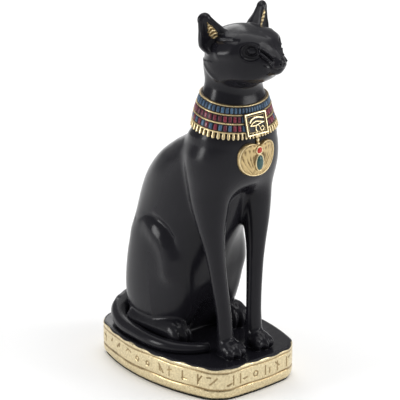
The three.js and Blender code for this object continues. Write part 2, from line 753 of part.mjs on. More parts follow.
// The pendant: rings of points from the middle out to its outline, with its back in the chest
function pendant() {
  const outline = pendantOutline();
  const rings = [0.45, 0.93, 1];
  const sides = outline.length;
  const positions = [0, plateFace(0, PENDANT_MIDDLE) - PENDANT_DOME, PENDANT_MIDDLE];
  const index = [];
  for (const ring of rings) {
    const front = ring < 1 ? -PENDANT_DOME * (1 - ring) : PENDANT_EDGE;
    for (const { x, y } of outline) {
      const z = PENDANT_MIDDLE + (y - PENDANT_MIDDLE) * ring;
      positions.push(x * ring, plateFace(x * ring, z) + front, z);
    }
  }
  for (const { x, y } of outline) {
    positions.push(x, frontOf(x, y) + PENDANT_SUNK, y);
  }
  positions.push(0, frontOf(0, PENDANT_MIDDLE) + PENDANT_SUNK, PENDANT_MIDDLE);
  const last = 1 + (rings.length + 1) * sides;
  for (let i = 0; i < sides; i += 1) {
    const j = (i + 1) % sides;
    index.push(0, 1 + j, 1 + i);
    for (let ring = 0; ring < rings.length; ring += 1) {
      const a = 1 + ring * sides;
      index.push(a + i, a + j, a + sides + j, a + i, a + sides + j, a + sides + i);
    }
    const rear = 1 + rings.length * sides;
    index.push(last, rear + i, rear + j);
  }
  const geometry = new THREE.BufferGeometry();
  geometry.setAttribute("position", new THREE.Float32BufferAttribute(positions, 3));
  geometry.setIndex(index);
  return geometry;
}

// Polished stone with a domed face, an oval seen from the front
function stone({ x, z, half, proud }, grow) {
  const sides = 16;
  const seat = plateFace(0, z) - STONE_SEAT;
  const rings = [[0.55, 0.92], [0.85, 0.55], [1, 0]];
  const geometry = new THREE.BufferGeometry();
  const positions = [x, seat - proud - grow, z];
  const index = [];
  const addRing = (wide, y) => {
    for (let i = 0; i < sides; i += 1) {
      const t = i / sides * 2 * Math.PI;
      const across = (half[0] + grow) * wide * Math.cos(t);
      positions.push(x + across, y, z + (half[1] + grow) * wide * Math.sin(t));
    }
  };
  for (const [wide, high] of rings) {
    addRing(wide, seat - (proud + grow) * high);
  }
  addRing(1, seat + STONE_DEPTH + grow);
  const last = positions.length / 3;
  positions.push(x, seat + STONE_DEPTH + grow, z);
  for (let i = 0; i < sides; i += 1) {
    const j = (i + 1) % sides;
    index.push(0, 1 + i, 1 + j);
    for (let ring = 0; ring < rings.length; ring += 1) {
      const a = 1 + ring * sides;
      index.push(a + i, a + sides + j, a + j, a + i, a + sides + i, a + sides + j);
    }
    const rear = 1 + rings.length * sides;
    index.push(last, rear + j, rear + i);
  }
  geometry.setAttribute("position", new THREE.Float32BufferAttribute(positions, 3));
  geometry.setIndex(index);
  return geometry;
}

function casting() {
  const body = (x, y, z) => Math.max(cat(x, y, z), z - BODY_CUT);
  const top = (x, y, z) => {
    const taper = HEAD_TAPER * Math.max(0, HEAD_TAPER_BELOW - z);
    return Math.max(cat(x, y, z) + taper, HEAD_CUT - z);
  };
  let solid = toSolid(skin(body, BODY_GRID));
  solid = solid.add(toSolid(skin(top, HEAD_GRID)));
  solid = solid.add(toSolid(tail()));
  solid = solid.add(toSolid(plinth()));
  solid = solid.add(toSolid(collar()));
  solid = solid.add(plaqueParts());
  solid = solid.add(toSolid(pendant()));
  for (const gem of [RED_STONE, GREEN_STONE]) {
    solid = solid.subtract(toSolid(stone(gem, STONE_GAP)));
  }
  return toGeometry(solid);
}

function paint(colour, roughness, metalness = 0) {
  return new THREE.MeshStandardMaterial({ color: colour, roughness, metalness });
}

function piece(name, geometry, material) {
  const mesh = new THREE.Mesh(geometry, material);
  mesh.name = name;
  return mesh;
}

const figurine = new THREE.Group();
figurine.add(piece("cat_casting", casting(), paint(0x1c1c20, 0.35)));
figurine.add(piece("red_cabochon", stone(RED_STONE, 0), paint(0xb8321f, 0.2)));
figurine.add(piece("green_cabochon", stone(GREEN_STONE, 0), paint(0x24504a, 0.2)));
figurine.add(piece("felt_pad", feltPad(), paint(0x141414, 0.95)));

export default figurine;
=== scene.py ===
# %% [markdown]
# # A black and gold seated cat
#
# This lesson dresses a small cast figurine: a slender seated cat on a low plinth. The real one is
# poured in stone-filled resin and painted by hand, in satin black, pale gold, blue and dark red.
# The solid model comes from the frame and fixes every size. Here each surface is made again with
# its fine relief, and each paint gets its own procedural finish.

# %% Load the frame
import math

import bpy
import numpy as np
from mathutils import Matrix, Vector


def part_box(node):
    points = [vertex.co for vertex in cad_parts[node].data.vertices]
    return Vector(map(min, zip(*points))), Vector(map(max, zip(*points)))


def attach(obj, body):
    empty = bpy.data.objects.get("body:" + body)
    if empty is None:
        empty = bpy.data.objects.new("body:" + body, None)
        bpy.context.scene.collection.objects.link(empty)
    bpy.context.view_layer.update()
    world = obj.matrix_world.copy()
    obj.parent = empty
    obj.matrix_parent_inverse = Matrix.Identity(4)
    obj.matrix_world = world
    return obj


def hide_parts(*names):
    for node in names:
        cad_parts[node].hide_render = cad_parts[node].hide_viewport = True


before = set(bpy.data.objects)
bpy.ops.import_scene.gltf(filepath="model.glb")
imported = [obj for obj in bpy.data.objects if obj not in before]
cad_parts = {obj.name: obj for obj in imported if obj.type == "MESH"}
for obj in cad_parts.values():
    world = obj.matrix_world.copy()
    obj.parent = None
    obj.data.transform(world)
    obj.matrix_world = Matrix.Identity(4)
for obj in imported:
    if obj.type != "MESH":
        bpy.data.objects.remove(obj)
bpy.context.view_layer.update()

print("frame nodes:", sorted(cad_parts))

# %% [markdown]
# ## Working sizes
#
# All shapes below are worked out in millimetres, in the frame's own axes, and turned into metres
# only when a mesh is made. The cat looks along -Y and its left side is +X. The felt pad's height
# is read from the frame, so that the dressed figure and the solid keep the same size.

# %% Working sizes
MM = 0.001
BODY = "root"
PLINTH_TOP = 18.0
PAD_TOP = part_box("felt_pad")[1].z / MM
print("plinth top", PLINTH_TOP, "mm, felt", round(PAD_TOP, 2), "mm thick")

# %% [markdown]
# ## A soft alphabet of forms
#
# A sculptor builds a cat from eggs, tapered rods and swelling columns, and smooths the joins with a
# thumb. The same can be done with numbers. Each form is a function that gives a distance: negative
# inside, zero on the skin, positive outside. `blend` takes the smaller of two distances and leaves a
# fillet in the join, and `carve` takes one form out of another. Subdivision modelling could make
# the cat too, but here one formula gives the skin, the seat of every ornament and any fineness.

# %% Forms as distances


def blend(a, b, fillet):
    """The smaller of two distances, rounded over about the fillet's size where they are equal."""
    h = np.clip(0.5 + 0.5 * (b - a) / fillet, 0, 1)
    return b + (a - b) * h - fillet * h * (1 - h)


def carve(a, b, fillet):
    """Form a with form b taken out: the larger of a and minus b, rounded."""
    return -blend(-a, b, fillet)


def ellipsoid(p, centre, half, tip=0.0):
    """Distance to an egg: k0 (k0 - 1) / k1, with k0 the scaled radius and k1 its slope.
    The egg may be tipped about the X axis by some degrees."""
    c, s = math.cos(math.radians(tip)), math.sin(math.radians(tip))
    x = p[0] - centre[0]
    y = (p[1] - centre[1]) * c + (p[2] - centre[2]) * s
    z = (p[2] - centre[2]) * c - (p[1] - centre[1]) * s
    k0 = np.sqrt((x / half[0]) ** 2 + (y / half[1]) ** 2 + (z / half[2]) ** 2)
    k1 = np.sqrt((x / half[0] ** 2) ** 2 + (y / half[1] ** 2) ** 2 + (z / half[2] ** 2) ** 2)
    return k0 * (k0 - 1) / (k1 + 1e-9)


def bar(p, a, b, radius_a, radius_b, widen=1.0):
    """Distance to a rod with round ends: distance to the segment, less a radius that tapers."""
    d = [b[i] - a[i] for i in range(3)]
    q = [p[i] - a[i] for i in range(3)]
    t = np.clip((q[0] * d[0] + q[1] * d[1] + q[2] * d[2]) / sum(v * v for v in d), 0, 1)
    off = ((q[0] - t * d[0]) / widen) ** 2 + (q[1] - t * d[1]) ** 2 + (q[2] - t * d[2]) ** 2
    return np.sqrt(off) - (radius_a + (radius_b - radius_a) * t)


def rod(p, points, radius, fillet=0.3):
    """Distance to a bent rod: the blend of the bars between its points."""
    form = bar(p, points[0], points[1], radius, radius)
    for a, b in zip(points[1:-1], points[2:]):
        form = blend(form, bar(p, a, b, radius, radius), fillet)
    return form


def through(t, rows, index):
    """Smooth curve through one column of a table, whose first column is the height: on each
    stretch a cubic with the slopes of the neighbouring points."""
    table = np.array(rows, float)
    k, v = table[:, 0], table[:, index]
    slope = np.gradient(v, k)
    slope[1:-1] = (v[2:] - v[:-2]) / (k[2:] - k[:-2])
    t = np.clip(t, k[0], k[-1])
    i = np.clip(np.searchsorted(k, t, side="right") - 1, 0, len(k) - 2)
    w = k[i + 1] - k[i]
    u = (t - k[i]) / w
    start = (1 + 2 * u) * (1 - u) ** 2 * v[i] + u * (1 - u) ** 2 * w * slope[i]
    return start + u * u * (3 - 2 * u) * v[i + 1] + u * u * (u - 1) * w * slope[i + 1]


def stack(p, centre_x, centre_y, half_width, half_depth, low, high, power=2.0):
    """Distance to rounded sections stacked upwards: (|x/a|^n + |y/b|^n)^(1/n) - 1, times the
    smaller half size."""
    across = np.abs((p[0] - centre_x) / half_width) ** power
    reach = (across + np.abs((p[1] - centre_y) / half_depth) ** power) ** (1 / power)
    side = (reach - 1) * np.minimum(half_width, half_depth)
    return np.maximum(side, np.maximum(low - p[2], p[2] - high))


def rise(t, low, high):
    """Smooth step from 0 at low to 1 at high."""
    u = np.clip((t - low) / (high - low), 0, 1)
    return u * u * (3 - 2 * u)


def drawn(u, v, points, wide):
    """Soft line through flat points: exp(-(d/w)^2), d the distance to the nearest stretch."""
    near = 99.0
    for (ua, va), (ub, vb) in zip(points[:-1], points[1:]):
        du, dv = ub - ua, vb - va
        t = np.clip(((u - ua) * du + (v - va) * dv) / (du * du + dv * dv), 0, 1)
        near = np.minimum(near, (u - ua - t * du) ** 2 + (v - va - t * dv) ** 2)
    return np.exp(-near / wide ** 2)


print("forms ready")

# %% [markdown]
# ## The cat's body
#
# The pose is the old temple pose: upright on the haunches, forelegs straight, the back one long
# falling curve. The trunk is a column of sections from the plinth to the neck. Each row of the
# table is a height with the front, the back and the half width there. Above the shoulders the
# sections grow squarer, because the breast is broad and flat under its pendant.

# %% Trunk, forelegs and chest
TRUNK = [
    (14, 4, 33, 20), (22, -1, 35, 21.5), (30, -6, 36.5, 23), (40, -12, 38, 24), (50, -16.5, 38.8, 24.6),
    (60, -18.6, 38.6, 24.8), (70, -21.5, 38, 24.8), (82, -26, 36.8, 24.6), (95, -30, 33.2, 24.1),
    (106, -33, 27.8, 23.4), (116, -37.5, 19.3, 22.4), (124, -42, 8.3, 21.7), (131, -44.8, -3.8, 21.6),
    (138, -44.4, -11.6, 21.6), (146, -42.6, -12.6, 20), (151, -41.7, -13.6, 18.5),
    (156, -40.5, -14.9, 16.3), (160, -39.9, -15.8, 15.1), (166, -39.5, -16.4, 14.4), (176, -42, -17, 15),
]
# Height, sideways place, fore-and-aft place, half width, half depth
FORELEG = [
    (14, 9.6, -35, 4.6, 5.1), (26, 9.8, -34, 4.3, 4.4), (40, 10.4, -33, 3.9, 4),
    (62, 12.7, -31.1, 4.3, 4.5), (74, 14.1, -30.1, 5.1, 5.5), (86, 15.1, -28.6, 6.7, 7.7),
    (98, 14.6, -26.8, 8.7, 10.6), (110, 13.8, -25.5, 10.1, 12.4), (124, 13, -25, 10.2, 12),
    (132, 11, -26, 8, 10),
]
CHEST_CENTRE = (0, -28.4, 126.5)
CHEST_HALF = (23.7, 17.6, 22)
SQUARER = 2.35


def trunk(p):
    """Column of sections whose outline exponent goes from 2, an oval, to 2.35 at the collar."""
    front, back = through(p[2], TRUNK, 1), through(p[2], TRUNK, 2)
    power = 2 + (SQUARER - 2) * rise(p[2], 120, 138)
    middle, half_depth = (front + back) / 2, (back - front) / 2
    return stack(p, 0, middle, through(p[2], TRUNK, 3), half_depth, 14, 172, power)


def foreleg(p):
    """One foreleg and upper arm: a column of ovals that swells into the shoulder."""
    x, y, wide, deep = [through(p[2], FORELEG, i) for i in (1, 2, 3, 4)]
    return stack(p, x, y, wide, deep, 14, 132)


def chest(p):
    """Rounded block: (|x/a|^n + |y/b|^n + |z/c|^n)^(1/n) - 1, times its half depth."""
    reach = sum(np.abs((p[i] - CHEST_CENTRE[i]) / CHEST_HALF[i]) ** SQUARER for i in range(3))
    return (reach ** (1 / SQUARER) - 1) * CHEST_HALF[1]


print("trunk of", len(TRUNK), "sections, foreleg of", len(FORELEG))

# %% [markdown]
# ## Paws and haunches
#
# Each paw is an egg with toes added in front, and a fine groove is carved between the toes. The
# haunch is one large egg laid on the trunk with a tight join, so that the crease of the thigh
# shows. The pairs are mirror images: the formulas take the distance from the middle, |x|.

# %% Paws and haunches
PAW = (9.6, -37.5, 22)
HIND_TOES = (20.2, -10.4, 22.6)
HAUNCH = (15, 9.5, 52)
HAUNCH_HALF = (12.3, 24.6, 36.5)
HAUNCH_POWER = 2.4
HAUNCH_LEAN = 0.12
# Fore-and-aft places and heights
CREASE = [(23, 80), (13.6, 84.5), (7, 85.6), (2, 84.8), (-3.5, 81.8), (-7.5, 77), (-9.8, 71), (-10.8, 64)]
HAUNCH_TUCK = 0.006


def front_paw(p):
    """An egg, three toe eggs in an arc in front, and a groove on each side of the middle toe."""
    paw = ellipsoid(p, PAW, (6.2, 7.2, 4.9))
    for toe in (-4.1, 0.0, 4.1):
        reach = -41.9 + 0.07 * toe * toe
        paw = blend(paw, ellipsoid(p, (PAW[0] + toe, reach, 20.9), (2.2, 3.6, 3.3)), 0.6)
    for gap in (-2.05, 2.05):
        groove = rod(p, [(PAW[0] + gap, -40, 27), (PAW[0] + gap, -43.6, 24.4), (PAW[0] + gap, -45.8, 19)], 0.35)
        paw = carve(paw, groove, 0.7)
    return paw


def hind_foot(p):
    """A flattened rod along the plinth, three toe eggs and the grooves between them."""
    x, y, z = HIND_TOES
    foot = bar(p, (20.5, 22, 24), (20.2, -6.6, 25.2), 7.2, 6.6)
    for toe in (-4.1, 0.0, 4.1):
        foot = blend(foot, ellipsoid(p, (x + toe, y + 0.07 * toe * toe, z), (2.5, 4.6, 6)), 0.7)
    for gap in (-2.05, 2.05):
        path = [(x + gap, y + 2, z + 9), (x + gap, y - 3, z + 6), (x + gap, y - 5.4, z - 3)]
        foot = carve(foot, rod(p, path, 0.35), 0.8)
    return foot


def haunch(p):
    """One large egg with fuller sides, leaning forward: (|x/a|^n + |y/b|^n + |z/c|^n)^(1/n) - 1,
    times its half width. Its lower front is tucked in towards the middle."""
    lean = HAUNCH_LEAN * (p[2] - HAUNCH[2])
    tuck = HAUNCH_TUCK * np.maximum(58 - p[2], 0) * np.maximum(6 - p[1], 0)
    place = (p[0] - HAUNCH[0] + tuck, p[1] - HAUNCH[1] + lean, p[2] - HAUNCH[2])
    reach = sum(np.abs(place[i] / HAUNCH_HALF[i]) ** HAUNCH_POWER for i in range(3))
    return (reach ** (1 / HAUNCH_POWER) - 1) * HAUNCH_HALF[0]


def crease(p):
    """Depth of the crease round the thigh: a line drawn from the side, with a soft swelling of
    the thigh below it."""
    line = 1.1 * drawn(p[1], p[2], CREASE, 1.9) * rise(p[2], 66, 80)
    swelling = 1.4 * drawn(p[1] - 3.5, p[2] + 6.5, CREASE, 5.0)
    return (line - swelling) * rise(p[0], 12, 16) * (1 - 0.75 * rise(p[1], 4, 16))


print("paws at", PAW, "hind toes at", HIND_TOES)

# %% [markdown]
# ## The tail
#
# The tail leaves the rump, drops to the plinth and lies along the cat's right side as far as the
# forefeet. It is a round tube along a smooth line. Its root is blended into the body's skin and the
# rest is a tube of its own, sunk into the plinth a little so that it seems to lie on it.

# %% Tail line
# Places on the middle line and the tube's radius there
TAIL = np.array([
    (2, 36, 30, 8), (-9, 40.9, 26.5, 6.3), (-20, 39, 24, 5.1), (-28.2, 27, 21.8, 4.2),
    (-31.2, 10, 21.2, 3.7), (-31.4, -4, 21, 3.5), (-28.2, -15, 20.8, 3.3), (-21.5, -22.5, 20.6, 3.1),
    (-13.5, -25.5, 20.4, 2.9),
])


def smooth_line(points, steps):
    """Curve through points: between two of them the cubic 2p1 + (p2-p0)t + ..., halved."""
    padded = np.vstack([2 * points[0] - points[1], points, 2 * points[-1] - points[-2]])
    at = np.linspace(0, len(points) - 1, steps)
    i = np.minimum(at.astype(int), len(points) - 2)
    t = (at - i)[:, None]
    p0, p1, p2, p3 = (padded[i + k] for k in range(4))
    cubic = 3 * p1 - p0 - 3 * p2 + p3
    return 0.5 * (2 * p1 + (p2 - p0) * t + (2 * p0 - 5 * p1 + 4 * p2 - p3) * t ** 2 + cubic * t ** 3)


def tail_root(p):
    """The first bars of the tail, where it grows out of the rump."""
    line = smooth_line(TAIL, 41)[:11:2]
    form = bar(p, line[0][:3], line[1][:3], line[0][3], line[1][3])
    for a, b in zip(line[1:-1], line[2:]):
        form = blend(form, bar(p, a[:3], b[:3], a[3], b[3]), 1)
    return form


print("tail of", len(TAIL), "points")

# %% [markdown]
# ## The head
#
# The skull is a long flat egg with a deep jaw below it and brows in front. Slanted planes cut it:
# one on each side for the flat cheek, and one on each side of the face, because the face is a
# wedge that narrows to the muzzle. The ears are flattened horns with a smaller horn carved out.

# %% Head forms
EYE = (8.9, -51.1, 182.5)
EYE_ALONG = (-0.656, -0.755)
WEDGE = 41.9
EAR_BASE = (15.1, -29.5, 185.8)
EAR_ROOT = (9.5, -30.5, 176.5)
EAR_LENGTH = 10.7
EAR_FACING = np.array([0.33, -0.94, 0.05])
EAR_RISE = np.array([5.9, 0.5, 13.2])
HOLLOW_FACING = np.array([0.5, -0.86, 0.05])
HOLLOW_WIDE, HOLLOW_TIP = 6.5, 2.1
HOLLOW_LIFT, HOLLOW_FLAT = 3.7, 0.5


def axes_of(facing, rise_line):
    """Across, facing and rising unit vectors of an ear."""
    n = facing / np.linalg.norm(facing)
    u = rise_line - n * (rise_line @ n)
    u = u / np.linalg.norm(u)
    return np.cross(u, n), n, u


def horn(p, facing, wide, tip, flat, lift, length):
    """Flattened horn: a tapering bar in the ear's own axes, its depth divided by the flatness."""
    w, n, u = axes_of(facing, EAR_RISE)
    q = [p[i] - EAR_BASE[i] for i in range(3)]
    own = [sum(axis[i] * q[i] for i in range(3)) for axis in (w, n, u)]
    local = (own[0], (own[1] - lift) / flat, own[2])
    return bar(local, (0, 0, 0), (0, 0, length), wide, tip) * (flat + 0.2)


def ear(p):
    """A horn standing on a root inside the head, with a smaller horn carved out of its face."""
    shell = blend(horn(p, EAR_FACING, 7.8, 3.6, 0.66, 0, EAR_LENGTH), bar(p, EAR_BASE, EAR_ROOT, 6.4, 4.8), 2.5)
    hollow = horn(p, HOLLOW_FACING, HOLLOW_WIDE, HOLLOW_TIP, HOLLOW_FLAT, HOLLOW_LIFT, EAR_LENGTH - 0.2)
    return carve(shell, hollow, 0.5)


def skull(p, side):
    """Skull, jaw and brows cut by the planes of cheek and face, then muzzle and nose bridge."""
    form = ellipsoid(p, (0, -35.6, 178), (18.6, 20.8, 13.6))
    form = blend(form, ellipsoid(p, (0, -36.5, 171.6), (17, 21, 10.2), -9), 3)
    form = blend(form, ellipsoid(side, (5.5, -45, 182.6), (9.5, 10, 6.6)), 4)
    cheek = 0.965 * side[0] - 0.22 * (side[1] + 36) - 0.1 * (side[2] - 175) - 17.1
    wedge = 0.755 * side[0] - 0.656 * side[1] - WEDGE + 0.1 * np.maximum(side[2] - 184.2, 0) ** 2
    form = carve(form, -cheek, 3)
    form = carve(form, -wedge, 3)
    form = blend(form, bar(p, (0, -49, 176.5), (0, -58.4, 176.2), 8, 4.5), 4)
    return blend(form, bar(p, (0, -51, 182.6), (0, -61.2, 177.8), 4.8, 2.2), 4)


print("eye", EYE, "ear base", EAR_BASE)

# %% [markdown]
# ## Features of the face
#
# The relief of the face is drawn. A line is a chain of flat points seen straight on, from the eye's
# own side, from the head's side or from the front, and the skin is lifted or sunk along it by a
# soft bell curve. So every line follows the form below it. The eye has a shallow socket, a lid in
# a ring, a ball inside it and two ridges that run down to the nose.

# %% Lines and features
TEAR_LINES = [[(4.6, -0.4), (7.6, -2.4), (10.6, -4.7)], [(4.2, 2.0), (7.4, 0.3), (10.4, -1.7)]]
TEAR_GROOVES = [[(5.0, 0.9), (7.4, -1.0), (10.4, -3.1)], [(4.2, -2.0), (7.6, -4.0), (10.4, -6.2)]]
BROW_LINE = [(-30, 186.3), (-36, 187.4), (-42, 188.4)]
BROW_GROOVE = [(-31, 184.8), (-38, 186.1), (-45, 187.0)]
CHEEK_BONE = [(-37, 179.6), (-44, 180.6)]
JAW_LINE = [(-24, 171.6), (-28, 168.6), (-32.5, 165.8)]
MOUTH = [(0, 175.0), (2.0, 174.6), (3.8, 175.2), (5.6, 176.3)]
LIP = [(0, 177.4), (0, 175.0)]


def eye_frame(side):
    """Places along, out of and up in the eye's own axes."""
    x, y = side[0] - EYE[0], side[1] - EYE[1]
    along = x * EYE_ALONG[0] + y * EYE_ALONG[1]
    out = -x * EYE_ALONG[1] + y * EYE_ALONG[0]
    return along, out, side[2] - EYE[2]


def face_relief(side):
    """Heights of the drawn lines: lids, tear ridges, brow, jaw, mouth and lip."""
    along, out, up = eye_frame(side)
    ring = np.exp(-((np.hypot(along / 3.7, up / 2.9) - 1) * 3.3 / 0.5) ** 2)
    eye = 0.7 * ring + sum(0.9 * drawn(along, up, line, 0.7) for line in TEAR_LINES)
    eye = eye - sum(0.7 * drawn(along, up, line, 0.6) for line in TEAR_GROOVES)
    flank = 0.4 * drawn(side[1], side[2], BROW_LINE, 1.1) - 0.6 * drawn(side[1], side[2], BROW_GROOVE, 0.9)
    flank = flank + 1.3 * drawn(side[1], side[2], CHEEK_BONE, 3.2) + 0.6 * drawn(side[1], side[2], JAW_LINE, 1.3)
    front = -0.35 * drawn(side[0], side[2], MOUTH, 0.4) - 0.35 * drawn(side[0], side[2], LIP, 0.35)
    return eye * rise(out, -6, -4) + flank * rise(side[0], 8, 11) + front * rise(-side[1], 54, 57)


def head(p):
    """The skull with its muzzle details, eyes and drawn relief."""
    side = (np.abs(p[0]), p[1], p[2])
    form = skull(p, side)
    form = blend(form, ellipsoid(side, (2.5, -59.0, 176.1), (2.7, 3.8, 2.6)), 1.2)
    form = blend(form, ellipsoid(p, (0, -57.7, 173.6), (3.9, 4.2, 2.6)), 1.8)
    form = blend(form, ellipsoid(p, (0, -61.2, 177.5), (2.3, 2.0, 1.5)), 0.8)
    own = eye_frame(side)
    form = carve(form, ellipsoid(own, (-0.6, 0.9, -0.2), (5.7, 2.8, 4.6)), 0.7)
    form = blend(form, ellipsoid(own, (0, -1.9, 0), (2.8, 1.8, 2.1)), 0.3)
    form = form - face_relief(side)
    return carve(form, ellipsoid(side, (1.3, -63.4, 177.3), (0.5, 0.9, 0.4)), 0.3)


print("lines drawn for the face:", len(TEAR_LINES) + 5)

# %% [markdown]
# ## The plinth's outline
#
# The plinth is a rounded rectangle whose sides bow outward a little. Its distance function puts
# its flat top into the body's skin, with a soft fillet where the cat sits down on it, as in the
# mould.

# %% Whole cat
PLINTH_HALF = (26.9, 48.8)
PLINTH_CORNER = 8.5
PLINTH_BOW = (10.8, 2.2)
TOP_INSET = 1.0


def plinth_edge(p):
    """Flat distance to the plinth's outline: the rounded rectangle's, with its bow taken off."""
    x = np.abs(p[0]) - PLINTH_BOW[0] * np.clip(1 - (p[1] / PLINTH_HALF[1]) ** 2, 0, 1)
    y = np.abs(p[1]) - PLINTH_BOW[1] * np.clip(1 - (p[0] / PLINTH_HALF[0]) ** 2, 0, 1)
    qx = x - PLINTH_HALF[0] + PLINTH_CORNER
    qy = y - PLINTH_HALF[1] + PLINTH_CORNER
    out = np.sqrt(np.maximum(qx, 0) ** 2 + np.maximum(qy, 0) ** 2)
    return out + np.minimum(np.maximum(qx, qy), 0) - PLINTH_CORNER


def torso(p):
    """Trunk, chest, forelegs, haunches, feet and the tail's root."""
    side = (np.abs(p[0]), p[1], p[2])
    front = blend(chest(p), foreleg(side), 7)
    form = blend(trunk(p), front, 2.5)
    form = blend(form, haunch(side), 4) + crease(side)
    form = blend(form, hind_foot(side), 1.2)
    form = blend(form, front_paw(side), 1.8)
    return blend(form, tail_root(p), 3)


def body(p):
    """The torso blended with the plinth's top slab."""
    slab = np.maximum(plinth_edge(p) + TOP_INSET, p[2] - PLINTH_TOP)
    return blend(torso(p), slab, 0.9)


def neck_and_head(p):
    """Neck, head and ears."""
    side = (np.abs(p[0]), p[1], p[2])
    form = blend(trunk(p), head(p), 5.5)
    return blend(form, ear(side), 1.0)


print("forms joined")

# %% [markdown]
# ## A skin for a form
#
# To make a mesh, the form is measured at the corners of a fine grid of cells. Every cell that the
# skin crosses gets one vertex, at the mean of the crossings on its edges, and every grid edge that
# the skin crosses gets one quad between its four cells. Two steps along the slope then set each
# vertex exactly on the form. This method is called surface nets. It gives even quads with no poles.

# %% Surface nets


def mesh_object(name, points, faces, smooth=True):
    """Blender object from points in millimetres and a list of faces."""
    mesh = bpy.data.meshes.new(name)
    mesh.from_pydata((np.asarray(points) * MM).tolist(), [], faces)
    if smooth:
        mesh.shade_smooth()
    mesh.update()
    made = bpy.data.objects.new(name, mesh)
    bpy.context.scene.collection.objects.link(made)
    return made


def settle(form, points, steps=3):
    """Moves points onto the skin: minus distance times slope over slope squared."""
    e = 0.04
    for _ in range(steps):
        x, y, z = points.T
        d = form((x, y, z))
        gx = (form((x + e, y, z)) - form((x - e, y, z))) / (2 * e)
        gy = (form((x, y + e, z)) - form((x, y - e, z))) / (2 * e)
        gz = (form((x, y, z + e)) - form((x, y, z - e))) / (2 * e)
        g = np.stack([gx, gy, gz], 1)
        move = d[:, None] * g / ((g * g).sum(1) + 1e-6)[:, None]
        points = points - np.clip(move, -0.3, 0.3)
    return points


def skin(name, form, low, high, cell):
    """Surface net of a form in a box, with a given cell size."""
    axes = [np.arange(low[i], high[i] + cell, cell) for i in range(3)]
    x, y, z = np.meshgrid(*axes, indexing="ij", sparse=True)
    value = form((x, y, z)).astype(np.float32)
    value[[0, -1]] = 1
    value[:, [0, -1]] = 1
    value[:, :, [0, -1]] = 1
    inside = value < 0
    near = np.zeros(tuple(n - 1 for n in value.shape), np.int8)
    for corner in np.ndindex(2, 2, 2):
        near += inside[tuple(slice(c, n - 1 + c) for c, n in zip(corner, value.shape))]
    cells = np.argwhere((near > 0) & (near < 8))
    total = np.zeros((len(cells), 3))
    crossings = np.zeros(len(cells))
    for axis in range(3):
        step = np.eye(3, dtype=int)[axis]
        for corner in np.ndindex(2, 2, 2):
            if corner[axis]:
                continue
            a = cells + corner
            b = a + step
            va, vb = value[tuple(a.T)], value[tuple(b.T)]
            crossed = (va < 0) != (vb < 0)
            t = np.where(crossed, va / np.where(crossed, va - vb, 1), 0)
            total += np.where(crossed[:, None], a + t[:, None] * step, 0)
            crossings += crossed
    points = np.array(low) + total / crossings[:, None] * cell
    points = settle(form, points)
    number = np.full(near.shape, -1)
    number[tuple(cells.T)] = np.arange(len(cells))
    quads = []
    for axis in range(3):
        step = np.eye(3, dtype=int)[axis]
        here = inside[tuple(slice(0, n - s) for n, s in zip(value.shape, step))]
        there = inside[tuple(slice(s, n) for n, s in zip(value.shape, step))]
        u, v = np.eye(3, dtype=int)[(axis + 1) % 3], np.eye(3, dtype=int)[(axis + 2) % 3]
        for out, flip in ((here & ~there, False), (~here & there, True)):
            at = np.argwhere(out)
            ring = np.stack([number[tuple((at - p * u - q * v).T)] for p, q in ((0, 0), (1, 0), (1, 1), (0, 1))], 1)
            quads.append(ring[:, ::-1] if flip else ring)
    made = mesh_object(name, points, np.concatenate(quads).tolist())
    print(name, "has", 2 * len(made.data.polygons), "triangles")
    return made


print("surface nets ready")

# %% [markdown]
# ## Making the two skins
#
# The body carries broad forms, so cells of 0.7 mm are fine enough. The head is full of small relief
# and gets cells half that size. The two overlap inside the collar, where no one sees them.

# %% Body and head skins
COARSER = 1.0
BODY_CELL = 0.76 * COARSER
HEAD_CELL = 0.42 * COARSER
BODY_CUT = 149.5
HEAD_CUT = 144.0
UNDERSIDE = 14.6


def cut_body(p):
    """The body between its flat underside, inside the plinth, and a cut inside the collar."""
    return np.maximum(body(p), np.maximum(UNDERSIDE - p[2], p[2] - BODY_CUT))


def cut_head(p):
    """Neck and head above a cut inside the collar, a little slimmer where the two overlap."""
    slimmer = 0.12 * np.clip(150 - p[2], 0, 6)
    return np.maximum(neck_and_head(p) + slimmer, HEAD_CUT - p[2])


cat_body = skin("cat_body", cut_body, (-39, -53, 13), (39, 53, 152), BODY_CELL)
cat_head = skin("cat_head", cut_head, (-25.5, -69, 142), (25.5, -10, 201.5), HEAD_CELL)

# %% [markdown]
# ## Surfaces on a grid
#
# Everything else is a grid of points worked out from two parameters: along and across. One helper
# turns such a grid into a closed mesh. A direction may wrap round, as on a tube, and an open end may
# be closed by a fan of triangles to its middle.

# %% Grid helper


def grid_faces(rows, columns, wrap_rows, wrap_columns):
    """Quads of a grid of points numbered row by row."""
    i = np.arange(rows if wrap_rows else rows - 1)[:, None]
    j = np.arange(columns if wrap_columns else columns - 1)[None, :]
    a = i * columns + j
    b = (i + 1) % rows * columns + j
    c = (i + 1) % rows * columns + (j + 1) % columns
    d = i * columns + (j + 1) % columns
    return np.stack([a, b, c, d], -1).reshape(-1, 4).tolist()


